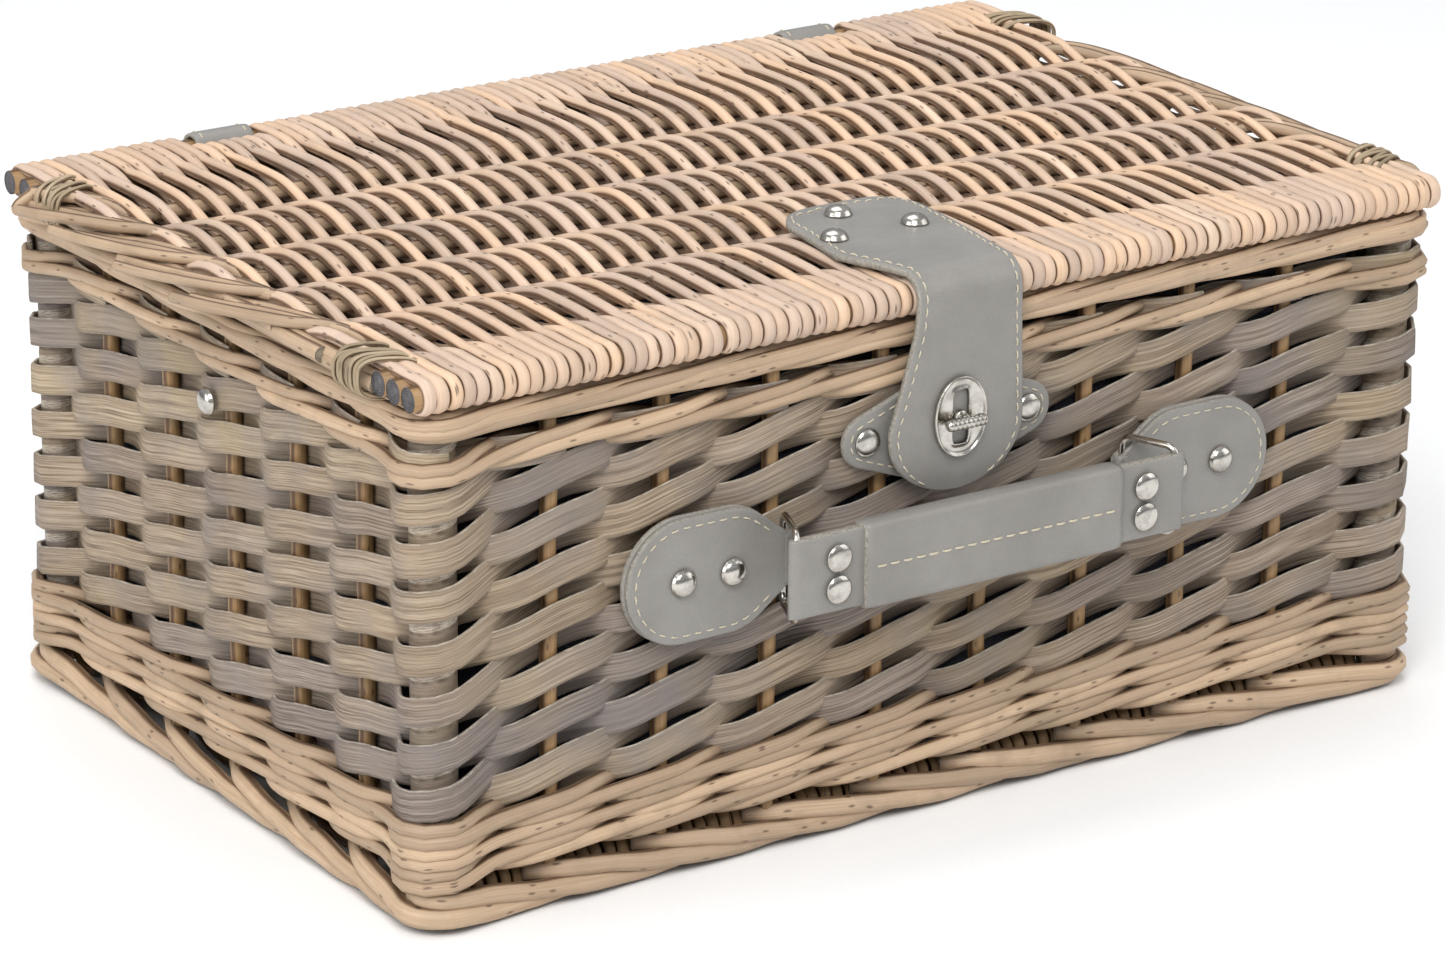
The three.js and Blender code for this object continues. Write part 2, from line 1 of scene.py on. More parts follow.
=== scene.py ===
# %% [markdown]
# # A willow picnic hamper
# The lesson rebuilds a wicker hamper the way a basket maker makes it: stakes stand up from a base,
# rods and split strips are woven round them, a border locks the top, and a woven lid is hung on
# two leather loops. The solid model gives the frame: every place below is measured from its nodes.

# %% Open the frame
import math

import bpy
import numpy as np
from mathutils import Matrix, Vector


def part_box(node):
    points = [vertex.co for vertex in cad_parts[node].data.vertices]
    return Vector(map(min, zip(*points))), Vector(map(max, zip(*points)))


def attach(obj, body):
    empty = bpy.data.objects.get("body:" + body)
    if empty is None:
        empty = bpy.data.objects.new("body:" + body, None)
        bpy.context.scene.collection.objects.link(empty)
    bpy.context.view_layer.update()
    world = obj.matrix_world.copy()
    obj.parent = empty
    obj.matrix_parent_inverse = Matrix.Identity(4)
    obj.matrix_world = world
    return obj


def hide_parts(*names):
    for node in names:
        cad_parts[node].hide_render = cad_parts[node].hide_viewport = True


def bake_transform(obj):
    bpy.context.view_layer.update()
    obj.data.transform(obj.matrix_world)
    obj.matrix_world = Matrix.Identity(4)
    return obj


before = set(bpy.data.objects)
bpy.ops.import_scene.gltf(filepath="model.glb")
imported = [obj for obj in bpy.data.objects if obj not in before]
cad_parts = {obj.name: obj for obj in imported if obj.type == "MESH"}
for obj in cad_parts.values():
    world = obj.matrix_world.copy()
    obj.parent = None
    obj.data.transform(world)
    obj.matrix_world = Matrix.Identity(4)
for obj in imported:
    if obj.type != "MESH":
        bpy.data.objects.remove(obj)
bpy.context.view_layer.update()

MM = 0.001
chance = np.random.default_rng(7)


def span(node, axis):
    """The lowest and highest value of a CAD node along one axis, in millimetres."""
    low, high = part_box(node)
    return low[axis] / MM, high[axis] / MM


# %% [markdown]
# ## The camera
# Catalogue pictures use a long lens from a little above, so that upright lines stay upright.
# The lens sits on a sphere round the hamper: an azimuth, an elevation and a distance place it,
# and a small roll and aim offset finish the framing.

# %% Place the camera
AZIMUTH, ELEVATION, ROLL = (math.radians(a) for a in (-34.07, 20.15, 0.64))
CAMERA_DISTANCE = 2.060
CAMERA_AIM = Vector((0.0, 0.0, 0.095))
AIM_RIGHT, AIM_UP = 0.00012, -0.0159
SENSOR = 36.0
LENS = 140.69


def looking_back(azimuth, elevation):
    """The unit vector from the aim point towards a lens at this azimuth and elevation."""
    flat = math.cos(elevation)
    return Vector((math.sin(azimuth) * flat, -math.cos(azimuth) * flat, math.sin(elevation)))


camera_data = bpy.data.cameras.new("camera")
camera_data.lens, camera_data.sensor_width = LENS, SENSOR
camera_data.clip_start, camera_data.clip_end = 0.05, 50
camera = bpy.data.objects.new("camera", camera_data)
bpy.context.collection.objects.link(camera)
back = looking_back(AZIMUTH, ELEVATION)
level = Vector((math.cos(AZIMUTH), math.sin(AZIMUTH), 0))
steep = back.cross(level)
right = level * math.cos(ROLL) + steep * math.sin(ROLL)
up = steep * math.cos(ROLL) - level * math.sin(ROLL)
turn = Matrix((right, up, back)).transposed().to_4x4()
camera.matrix_world = (
    Matrix.Translation(CAMERA_AIM + back * CAMERA_DISTANCE + level * AIM_RIGHT + steep * AIM_UP) @ turn
)
bpy.context.scene.camera = camera
print("camera at", [round(c, 3) for c in camera.matrix_world.translation])

# %% [markdown]
# ## One helper that makes every rod
# Willow rods, split strips, wire and thread are all the same idea: a closed outline carried along a
# line. Blender's curve bevel could do it, but numpy makes hundreds of rods in one array and lets
# each rod swell, flatten and twist on its own.

# %% Carry an outline along many lines at once
def unit(v):
    """Each vector divided by its length."""
    return v / np.maximum(np.linalg.norm(v, axis=-1, keepdims=True), 1e-12)


def carried(lines, wide, thick, side, corners=8, square=1.0, closed=False):
    """Points of an outline carried along m lines of n points: a grid of m x n x corners points.

    At each point T is the line's direction, S is `side` made square to T, and N = T x S. The
    outline is point + S*wide*cos(a)^square + N*thick*sin(a)^square, with a once round."""
    if closed:
        direction = np.roll(lines, -1, axis=1) - np.roll(lines, 1, axis=1)
    else:
        direction = np.gradient(lines, axis=1)
    direction = unit(direction)
    side = np.broadcast_to(side, lines.shape)
    side = unit(side - (side * direction).sum(-1, keepdims=True) * direction)
    normal = np.cross(direction, side)
    angle = np.arange(corners) / corners * 2 * np.pi
    across = np.sign(np.cos(angle)) * np.abs(np.cos(angle)) ** square
    through = np.sign(np.sin(angle)) * np.abs(np.sin(angle)) ** square
    wide = np.broadcast_to(wide, lines.shape[:2])[..., None, None]
    thick = np.broadcast_to(thick, lines.shape[:2])[..., None, None]
    return (
        lines[:, :, None, :]
        + side[:, :, None, :] * wide * across[None, None, :, None]
        + normal[:, :, None, :] * thick * through[None, None, :, None]
    )


def grid_faces(rows, columns, wrap_rows, wrap_columns):
    """Corner numbers of the four-sided faces of a grid, with the grid cell of each corner."""
    i, j = np.meshgrid(
        np.arange(rows if wrap_rows else rows - 1),
        np.arange(columns if wrap_columns else columns - 1),
        indexing="ij",
    )
    steps = ((0, 0), (0, 1), (1, 1), (1, 0))
    cells = np.stack([np.stack([i + di, j + dj], -1) for di, dj in steps], -2).reshape(-1, 4, 2)
    numbers = (cells[..., 0] % rows) * columns + cells[..., 1] % columns
    return numbers, cells


def new_mesh(name, points, faces, uvs, material_index, tints):
    """A mesh object in metres from arrays: faces is a list of (n, 3) or (n, 4) arrays."""
    mesh = bpy.data.meshes.new(name)
    mesh.vertices.add(len(points))
    mesh.vertices.foreach_set("co", (points * MM).astype(np.float32).ravel())
    corner_numbers = np.concatenate([f.ravel() for f in faces])
    sizes = np.concatenate([np.full(len(f), f.shape[1]) for f in faces])
    mesh.loops.add(len(corner_numbers))
    mesh.loops.foreach_set("vertex_index", corner_numbers.astype(np.int32))
    mesh.polygons.add(len(sizes))
    mesh.polygons.foreach_set("loop_start", (np.cumsum(sizes) - sizes).astype(np.int32))
    mesh.polygons.foreach_set("material_index", material_index.astype(np.int32))
    mesh.polygons.foreach_set("use_smooth", np.ones(len(sizes), bool))
    mesh.update(calc_edges=True)
    layer = mesh.uv_layers.new(name="UVMap")
    layer.data.foreach_set("uv", np.concatenate([u.reshape(-1,
                                                           2) for u in uvs]).astype(np.float32).ravel())
    for label, values in tints.items():
        layer = mesh.attributes.new(label, "FLOAT", "POINT")
        layer.data.foreach_set("value", values.astype(np.float32))
    mesh.validate()
    thing = bpy.data.objects.new(name, mesh)
    bpy.context.collection.objects.link(thing)
    return thing


def rods(name, lines, wide, thick, side, materials, corners=8, square=1.0, closed=False, cut=0,
         shade=None):
    """Many rods as one object. UV is (metres along the rod, once round it).

    The attribute tint is one random number per rod, and depth says how deep a point lies in the
    weave. Ends are closed by a flat cap with its own material number."""
    lines = np.asarray(lines, float)
    count, steps = lines.shape[:2]
    grid = carried(lines, wide, thick, side, corners, square, closed)
    numbers, cells = grid_faces(steps, corners, closed, True)
    along = np.zeros((count, steps + 1))
    pace = np.linalg.norm(np.roll(lines, -1, axis=1) - lines, axis=-1)
    along[:, 1:] = np.cumsum(pace, axis=1)
    along = along * MM + chance.random((count, 1)) * 9
    faces = [(numbers[None] + np.arange(count)[:, None, None] * steps * corners).reshape(-1, 4)]
    u = along[:, cells[..., 0]]
    v = np.broadcast_to(cells[..., 1] / corners, u.shape)
    uvs = [np.stack([u, v], -1)]
    index = [np.zeros(len(faces[0]))]
    points = grid.reshape(-1, 3)
    tint = np.repeat(chance.random(count), steps * corners)
    # The shade values become the depth attribute, from which the finishes paint shade deep in the weave.
    depth = np.zeros((count, steps)) if shade is None else np.broadcast_to(shade, (count, steps))
    depth = np.repeat(depth.ravel(), corners)
    if not closed:
        poles = lines[:, [0, -1]].reshape(-1, 3)
        ring = np.arange(corners)
        base = np.arange(count)[:, None] * steps * corners
        first, last = base + ring, base + (steps - 1) * corners + ring
        pole = len(points) + np.arange(count) * 2
        start = np.stack([np.broadcast_to(pole[:, None], first.shape), np.roll(first, -1, 1), first], -1)
        end = np.stack([np.broadcast_to(pole[:, None] + 1, last.shape), last, np.roll(last, -1, 1)], -1)
        faces.append(np.concatenate([start.reshape(-1, 3), end.reshape(-1, 3)]))
        index.append(np.full(len(faces[1]), cut))
        a = (ring / corners)[None] * 2 * np.pi
        rim = np.stack([np.cos(a), np.sin(a)], -1)
        fan = np.stack([np.zeros_like(rim), np.roll(rim, -1, 1), rim], -2) * 0.5 + 0.5
        uvs.append(np.broadcast_to(fan, (2 * count, corners, 3, 2)))
        points = np.concatenate([points, poles])
        tint = np.concatenate([tint, np.repeat(chance.random(count), 2)])
        depth = np.concatenate([depth, np.zeros(2 * count)])
    thing = new_mesh(name, points, faces, uvs, np.concatenate(index), {"tint": tint, "depth": depth})
    for material in materials:
        thing.data.materials.append(material)
    print(name, count, "rods,", sum(len(f) for f in faces), "faces")
    return thing


def wander(count, steps, size, waves=3):
    """A slow random sway for each line: the sum of a few sine waves of random phase."""
    t = np.linspace(0, 2 * np.pi, steps)[None, :, None]
    pitch = chance.uniform(0.6, 5, (count, 1, waves))
    phase = chance.uniform(0, 2 * np.pi, (count, 1, waves))
    return (np.sin(t * pitch + phase)).sum(-1) * size / waves


def smooth_steps(t, knots, values, period=None, blur=0.12):
    """A line through the knots, softened by averaging it over a small window of t."""
    spread = np.linspace(-blur, blur, 7)
    return sum(np.interp(t + s, knots, values, period=period) for s in spread) / len(spread)


# %% [markdown]
# ## Finishes, made of nodes
# A finish is a small recipe: where on the piece a point lies (its UV, its attributes, or Object
# coordinates), then noise and ramps that turn the place into colour, roughness and bump.
# Each rod carries its own random number, so that neighbours differ as real rods do.

# %% Short words for nodes
def colour(red, green, blue):
    """A display colour, 0 to 255, as the linear colour that the shader wants."""
    parts = [c / 255 for c in (red, green, blue)]
    return (*[c / 12.92 if c <= 0.04045 else ((c + 0.055) / 1.055) ** 2.4 for c in parts], 1.0)


def start(name, slot):
    """An empty finish: its material, node tree and shader."""
    material = bpy.data.materials.new(name)
    material.use_nodes = True
    tree = material.node_tree
    tree.nodes.clear()
    shader = tree.nodes.new("ShaderNodeBsdfPrincipled")
    output = tree.nodes.new("ShaderNodeOutputMaterial")
    tree.links.new(shader.outputs["BSDF"], output.inputs["Surface"])
    material["slot"] = slot
    return material, tree, shader


def add(tree, kind, inputs=(), **settings):
    """A new node: inputs is a dictionary of socket to value or to the socket that feeds it."""
    node = tree.nodes.new("ShaderNode" + kind)
    for key, value in settings.items():
        setattr(node, key, value)
    for socket, value in dict(inputs).items():
        if isinstance(value, bpy.types.NodeSocket):
            tree.links.new(value, node.inputs[socket])
        else:
            node.inputs[socket].default_value = value
    return node


def ramp(tree, factor, stops, interpolation="LINEAR"):
    """The colour output of a ramp: stops are (position, colour)."""
    node = add(tree, "ValToRGB", {"Fac": factor})
    node.color_ramp.interpolation = interpolation
    while len(node.color_ramp.elements) < len(stops):
        node.color_ramp.elements.new(0.5)
    for element, (position, shade) in zip(node.color_ramp.elements, stops):
        element.position, element.color = position, shade
    return node.outputs["Color"]


def mixed(tree, factor, first, second, kind="MIX"):
    """Two colours mixed, multiplied or overlaid."""
    node = add(tree, "Mix", {0: factor, 6: first, 7: second}, data_type="RGBA", blend_type=kind)
    return node.outputs[2]


def sums(tree, operation, first, second=0.0, clamp=False):
    """One arithmetic step."""
    return add(tree, "Math", {0: first, 1: second}, operation=operation, use_clamp=clamp).outputs[0]


def between(tree, value, low, high, out_low=0.0, out_high=1.0):
    """A value moved from one range to another and held there."""
    names = ("Value", "From Min", "From Max", "To Min", "To Max")
    return add(tree, "MapRange", dict(zip(names, (value, low, high, out_low, out_high)))).outputs[0]


def noise(tree, place, scale, detail=3.0, roughness=0.6):
    """Fractal noise at a place."""
    inputs = {"Vector": place, "Scale": scale, "Detail": detail, "Roughness": roughness}
    return add(tree, "TexNoise", inputs).outputs["Fac"]


def bumped(tree, shader, height, distance, strength=1.0):
    """Bump from a height of 0 to 1, which stands for `distance` metres."""
    node = add(tree, "Bump", {"Height": height, "Distance": distance, "Strength": strength})
    tree.links.new(node.outputs["Normal"], shader.inputs["Normal"])


def stretched(tree, along, across, fold):
    """The rod's own UV as a place: scaled along it and across it, and folded so it has no seam."""
    uv = add(tree, "SeparateXYZ", {0: add(tree, "UVMap", uv_map="UVMap").outputs[0]})
    folded = sums(tree, "PINGPONG", uv.outputs[1], fold)
    parts = {
        0: sums(tree, "MULTIPLY", uv.outputs[0], along),
        1: sums(tree, "MULTIPLY", folded, across),
    }
    return add(tree, "CombineXYZ", parts).outputs[0], folded


def of_rod(tree, label):
    """An attribute that the rod carries."""
    return add(tree, "Attribute", attribute_name=label).outputs["Fac"]


# %% [markdown]
# ### Peeled rods
# Peeled willow is pale and satiny, with fine lines along it, little dark marks where leaves grew
# and patches where the bark stain stayed. Painted shade darkens each rod along its sides and deep in the
# weave.

# %% Peeled willow
def peeled_willow(name, slot, shades, stain, streaks=0.5, stained=0.45, rough=0.5, deepest_shade=0.85):
    """A round rod: a ramp of shades by rod, dark streaks along it, stains, flecks, painted shade along
    its sides and deep in the weave, and bump.
    """
    material, tree, shader = start(name, slot)
    stops = [(i / (len(shades) - 1), colour(*shade)) for i, shade in enumerate(shades)]
    base = ramp(tree, of_rod(tree, "tint"), stops)
    fine, _ = stretched(tree, 26.0, 34.0, 0.5)
    lines = noise(tree, fine, 1.0, 5.0, 0.65)
    dark = mixed(tree, 1.0, base, colour(205, 186, 168), "MULTIPLY")
    base = mixed(tree, between(tree, lines, 0.42, 0.72, 0.0, streaks), base, dark)
    place = add(tree, "TexCoord").outputs["Object"]
    patch = noise(tree, place, 38.0, 4.0, 0.62)
    base = mixed(tree, between(tree, patch, 0.5, 0.72, 0.0, stained), base, colour(*stain))
    marks, _ = stretched(tree, 120.0, 7.0, 0.5)
    cells = add(tree, "TexVoronoi", {"Vector": marks, "Scale": 1.0}, voronoi_dimensions="2D")
    chosen = sums(tree, "GREATER_THAN", add(tree, "SeparateColor",
                                            {0: cells.outputs["Color"]}).outputs[0], 0.86)
    fleck = sums(tree, "MULTIPLY", between(tree, cells.outputs["Distance"], 0.09, 0.22, 1.0, 0.0),
                 chosen)
    base = mixed(tree, sums(tree, "MULTIPLY", fleck, 0.7), base, colour(74, 52, 38))
    # Painted shade: each rod is darkened along both sides, where it meets its neighbours, with a noisy
    # edge.
    edge = stretched(tree, 60.0, 1.0, 0.25)
    side_shade_jitter = noise(tree, edge[0], 1.0, 2.0)
    near = sums(tree, "ADD", edge[1], sums(tree, "MULTIPLY", side_shade_jitter, 0.05))
    crevice_shade = between(tree, near, 0.05, 0.1, 0.85, 0.0)
    base = mixed(tree, crevice_shade, base, mixed(tree, 1.0, base, colour(122, 98, 76), "MULTIPLY"))
    # Painted shade: the depth attribute darkens the rod where it lies deep in the weave.
    deep = between(tree, of_rod(tree, "depth"), 0.0, 1.0, 0.0, deepest_shade)
    base = mixed(tree, deep, base, mixed(tree, 1.0, base, colour(126, 104, 84), "MULTIPLY"))
    tree.links.new(base, shader.inputs["Base Color"])
    tree.links.new(between(tree, lines, 0.3, 0.7, rough - 0.08, rough + 0.14),
                   shader.inputs["Roughness"])
    shader.inputs["Specular IOR Level"].default_value = 0.42
    height = sums(tree, "SUBTRACT", sums(tree, "MULTIPLY", lines, 0.55),
                  sums(tree, "MULTIPLY", fleck, 0.5))
    bumped(tree, shader, height, 0.00035, 0.8)
    return material


PALE_SHADES = [(214, 187, 163), (198, 172, 149), (220, 189, 159), (207, 183, 164), (188, 166, 147),
               (224, 199, 174)]
TAN_SHADES = [(190, 165, 138), (170, 147, 122), (198, 172, 143), (158, 137, 113), (184, 160, 135)]
pale_willow = peeled_willow("pale_willow", "pale_willow", PALE_SHADES, (164, 148, 134), deepest_shade=0.5)
tan_willow = peeled_willow("tan_willow", "tan_willow", TAN_SHADES, (140, 122, 98), 0.6, 0.55)
brown_willow = peeled_willow(
    "brown_willow", "dark_willow", [(150, 120, 82), (138, 110, 74), (160, 128, 88)], (96, 78, 56),
    0.7, 0.6, 0.45
)
skein_willow = peeled_willow(
    "skein_willow", "dark_willow", [(178, 160, 132), (150, 134, 108), (194, 176, 148)],
    (110, 98, 78), 0.8, 0.5
)

# %% [markdown]
# ### Split strips and cut ends
# A split strip shows its wood: greyed by weather, with close straight grain and pale torn fibres
# along both edges. The sawn end of a rod shows rings round a soft pith.

# %% Split willow and end grain
def split_willow(name, slot, shades):
    """A flat strip: close grain along it, weathered patches, pale fibres at its edges, and painted shade
    deep in the weave.
    """
    material, tree, shader = start(name, slot)
    stops = [(i / (len(shades) - 1), colour(*shade)) for i, shade in enumerate(shades)]
    base = ramp(tree, of_rod(tree, "tint"), stops)
    grain_place, folded = stretched(tree, 22.0, 64.0, 0.25)
    grain = noise(tree, grain_place, 1.0, 6.0, 0.7)
    dark = mixed(tree, 1.0, base, colour(150, 140, 132), "MULTIPLY")
    base = mixed(tree, between(tree, grain, 0.44, 0.64, 0.0, 0.9), base, dark)
    base = mixed(tree, between(tree, grain, 0.3, 0.44, 0.5, 0.0), base, colour(196, 186, 168))
    place = add(tree, "TexCoord").outputs["Object"]
    weather = noise(tree, place, 24.0, 4.0, 0.6)
    base = mixed(tree, between(tree, weather, 0.46, 0.66, 0.0, 0.55), base, colour(122, 116, 114))
    warm = noise(tree, place, 17.0, 3.0, 0.5)
    base = mixed(tree, between(tree, warm, 0.55, 0.75, 0.0, 0.5), base, colour(158, 140, 104))
    torn = noise(tree, stretched(tree, 220.0, 30.0, 0.25)[0], 1.0, 3.0, 0.7)
    edge = sums(tree, "MULTIPLY", between(tree, folded, 0.07, 0.1, 1.0, 0.0),
                between(tree, torn, 0.44, 0.56))
    base = mixed(tree, sums(tree, "MULTIPLY", edge, 0.75), base, colour(214, 204, 188))
    # Painted shade: the depth attribute darkens the strip where it lies deep in the weave.
    deep = between(tree, of_rod(tree, "depth"), 0.0, 1.0, 0.0, 0.85)
    base = mixed(tree, deep, base, mixed(tree, 1.0, base, colour(122, 112, 106), "MULTIPLY"))
    tree.links.new(base, shader.inputs["Base Color"])
    tree.links.new(between(tree, grain, 0.3, 0.7, 0.5, 0.75), shader.inputs["Roughness"])
    shader.inputs["Specular IOR Level"].default_value = 0.35
    bumped(tree, shader, grain, 0.0005, 0.85)
    return material


STRIP_SHADES = [(140, 126, 112), (168, 149, 125), (148, 134, 124), (178, 159, 132), (156, 138, 118),
                (134, 123, 116)]
split_strips = split_willow("split_strips", "split_willow", STRIP_SHADES)


def end_grain(name, slot, wood, ring):
    """A sawn end: rings round the middle of the cap's own UV, which is centred on a half."""
    material, tree, shader = start(name, slot)
    uv = add(tree, "UVMap", uv_map="UVMap").outputs[0]
    centred = add(tree, "Mapping", {"Vector": uv, "Location": (-0.5, -0.5, 0)}).outputs[0]
    rings = add(tree, "TexWave", {"Vector": centred, "Scale": 3.2, "Distortion": 1.6, "Detail": 3.0})
    rings.wave_type, rings.rings_direction = "RINGS", "SPHERICAL"
    place = add(tree, "TexCoord").outputs["Object"]
    dirt = noise(tree, place, 420.0, 4.0)
    base = mixed(tree, rings.outputs["Fac"], colour(*wood), colour(*ring))
    base = mixed(tree, between(tree, dirt, 0.4, 0.7, 0.0, 0.7), base, colour(70, 66, 68))
    tree.links.new(base, shader.inputs["Base Color"])
    shader.inputs["Roughness"].default_value = 0.8
    bumped(tree, shader, sums(tree, "ADD", rings.outputs["Fac"], dirt), 0.0006)
    return material


cut_ends = end_grain("cut_ends", "dark_willow", (128, 124, 126), (92, 88, 92))
pale_ends = end_grain("pale_ends", "tan_willow", (190, 176, 152), (150, 134, 112))

# %% [markdown]
# ### Leather, thread, nickel and cloth
# The leather is coated: an even grey with a fine pebble grain and a soft shine, pale where it is cut.
# Nickel is a mirror with a little wear. The lining is a dark close-woven cloth.

# %% Leather, thread, nickel and cloth
def coated_leather(name, face, mottle, rough):
    """Pebble grain from small Voronoi cells, larger creases from noise, and gentle mottling."""
    material, tree, shader = start(name, "leather")
    place = add(tree, "TexCoord").outputs["Object"]
    cells = add(tree, "TexVoronoi", {"Vector": place, "Scale": 1500.0}).outputs["Distance"]
    crease = noise(tree, place, 260.0, 4.0)
    soft = noise(tree, place, 30.0, 3.0)
    base = mixed(tree, between(tree, soft, 0.35, 0.7), colour(*face), colour(*mottle))
    base = mixed(tree, between(tree, cells, 0.25, 0.6, 0.0, 0.16), base, colour(98, 97, 92))
    tree.links.new(base, shader.inputs["Base Color"])
    tree.links.new(between(tree, crease, 0.3, 0.7, rough - 0.06, rough + 0.1),
                   shader.inputs["Roughness"])
    shader.inputs["Specular IOR Level"].default_value = 0.45
    height = sums(tree, "ADD", sums(tree, "MULTIPLY", cells, -0.5), sums(tree, "MULTIPLY", crease, 0.5))
    bumped(tree, shader, height, 0.00022, 0.5)
    return material


grey_leather = coated_leather("grey_leather", (141, 138, 133), (127, 124, 119), 0.36)


def raw_edge(name):
    """The cut edge of leather: pale, matt and fibrous."""
    material, tree, shader = start(name, "leather")
    place = add(tree, "TexCoord").outputs["Object"]
    fibres = noise(tree, place, 900.0, 5.0, 0.7)
    base = mixed(tree, between(tree, fibres, 0.35, 0.7), colour(168, 164, 154), colour(112, 106, 98))
    tree.links.new(base, shader.inputs["Base Color"])
    shader.inputs["Roughness"].default_value = 0.85
    bumped(tree, shader, fibres, 0.0004)
    return material


leather_edge = raw_edge("leather_edge")


def spun_thread(name):
    """Waxed thread: a pale cream with twisted plies shown by slanting bands."""
    material, tree, shader = start(name, "leather")
    slant = stretched(tree, 2400.0, 3.0, 0.5)[0]
    ply = add(tree, "TexWave", {"Vector": slant, "Scale": 0.4},
              bands_direction="DIAGONAL").outputs["Fac"]
    base = mixed(tree, ply, colour(176, 165, 140), colour(226, 216, 194))
    tree.links.new(base, shader.inputs["Base Color"])
    shader.inputs["Roughness"].default_value = 0.75
    bumped(tree, shader, ply, 0.00015)
    return material


cream_thread = spun_thread("cream_thread")


def polished_nickel(name):
    """Bright nickel: warm grey, with faint smears in its roughness and hairline scratches."""
    material, tree, shader = start(name, "nickel")
    place = add(tree, "TexCoord").outputs["Object"]
    smear = noise(tree, place, 240.0, 4.0)
    hair = noise(tree, add(tree, "Mapping", {"Vector": place,
                                             "Scale": (900, 900, 5200)}).outputs[0], 1.0, 2.0)
    base = mixed(tree, between(tree, smear, 0.4, 0.7), colour(200, 196, 188), colour(160, 155, 148))
    tree.links.new(base, shader.inputs["Base Color"])
    shader.inputs["Metallic"].default_value = 1.0
    tree.links.new(between(tree, smear, 0.3, 0.75, 0.12, 0.3), shader.inputs["Roughness"])
    bumped(tree, shader, hair, 0.00003, 0.5)
    return material


bright_nickel = polished_nickel("bright_nickel")


def woven_cloth(name):
    """Dark twill: two crossed wave patterns for warp and weft, with lint."""
    material, tree, shader = start(name, "lining_cloth")
    place = add(tree, "TexCoord").outputs["Object"]
    turned = add(tree, "Mapping", {"Vector": place, "Rotation": (0.7, 0.4, 0.785)}).outputs[0]
    warp = add(tree, "TexWave", {"Vector": turned, "Scale": 420.0, "Distortion": 0.6}).outputs["Fac"]
    weft = add(tree, "TexWave", {"Vector": turned, "Scale": 420.0, "Distortion": 0.6},
               bands_direction="Z").outputs["Fac"]
    weave = sums(tree, "MULTIPLY", warp, weft)
    lint = noise(tree, place, 700.0, 4.0, 0.7)
    base = mixed(tree, weave, colour(24, 27, 38), colour(52, 58, 76))
    base = mixed(tree, between(tree, lint, 0.66, 0.8, 0.0, 0.5), base, colour(120, 124, 134))
    tree.links.new(base, shader.inputs["Base Color"])
    shader.inputs["Roughness"].default_value = 0.9
    shader.inputs["Sheen Weight"].default_value = 0.25
    bumped(tree, shader, weave, 0.0004)
    return material


navy_cloth = woven_cloth("navy_cloth")
print("finishes:", [m.name for m in bpy.data.materials])

# %% [markdown]
# ## The line that the walls follow
# Every wall piece follows one line round the basket, through the middles of the upright stakes. It
# starts at the back left corner, runs down the left side to the front, and goes on anticlockwise.
# Weaving is counted in stakes, so a place on the line is a stake number, not a distance.

# %% The wall's line and its stakes
STAKE_RADIUS = 3.0
WALL_HALF_X = span("strip_weave", 0)[1] - 5.5
WALL_HALF_Y = span("strip_weave", 1)[1] - 5.5
LINE_CORNER = 7.0
POST_X, POST_Y = (sum(span("corner_post_back_right", axis)) / 2 for axis in (0, 1))
POST_RADIUS = (span("corner_post_back_right", 0)[1] - span("corner_post_back_right", 0)[0]) / 2


def rounded_line(half_x, half_y, corner, steps=16):
    """Corner points of a rounded rectangle, anticlockwise from the back left, as a closed line."""
    parts = []
    for turn_by, cx, cy in ((90, -1, 1), (180, -1, -1), (270, 1, -1), (0, 1, 1)):
        a = np.radians(turn_by + np.linspace(0, 90, steps))
        parts.append(np.stack([cx * (half_x - corner) + corner * np.cos(a),
                               cy * (half_y - corner) + corner * np.sin(a)], -1))
    line = np.concatenate(parts)
    line = np.roll(line, -steps // 2, axis=0)
    return np.concatenate([line, line[:1]])


WALL_LINE = rounded_line(WALL_HALF_X, WALL_HALF_Y, LINE_CORNER)
WALL_REACH = np.concatenate([[0], np.cumsum(np.linalg.norm(np.diff(WALL_LINE, axis=0), axis=1))])
PERIMETER = WALL_REACH[-1]
dense = np.linspace(0, PERIMETER, 1601)[:-1]
dense_xy = np.stack([np.interp(dense, WALL_REACH, WALL_LINE[:, k]) for k in (0, 1)], -1)
dense_tangent = unit(np.roll(dense_xy, -3, axis=0) - np.roll(dense_xy, 3, axis=0))


def nearest_reach(x, y):
    """How far along the line its point nearest to (x, y) is."""
    return dense[np.argmin(np.hypot(dense_xy[:, 0] - x, dense_xy[:, 1] - y))]


STAKE_PITCH = 44.1
SIDE_STAKES = [81 - 44 * k for k in range(5)]
FRONT_STAKES = [-160 + STAKE_PITCH * k for k in range(8)]
stations = (
    [nearest_reach(-POST_X, POST_Y)]
    + [nearest_reach(-WALL_HALF_X, y) for y in SIDE_STAKES]
    + [nearest_reach(-POST_X, -POST_Y)]
    + [nearest_reach(x, -WALL_HALF_Y) for x in FRONT_STAKES]
    + [nearest_reach(POST_X, -POST_Y)]
    + [nearest_reach(WALL_HALF_X, -y) for y in SIDE_STAKES]
    + [nearest_reach(POST_X, POST_Y)]
    + [nearest_reach(-x, WALL_HALF_Y) for x in FRONT_STAKES]
)
stations[0] -= PERIMETER if stations[0] > PERIMETER / 2 else 0
STATIONS = np.array(stations + [stations[0] + PERIMETER])
COUNT = len(stations)
POSTS = [0, 6, 15, 21]
print("perimeter", round(PERIMETER), "mm,", COUNT, "stakes and posts")


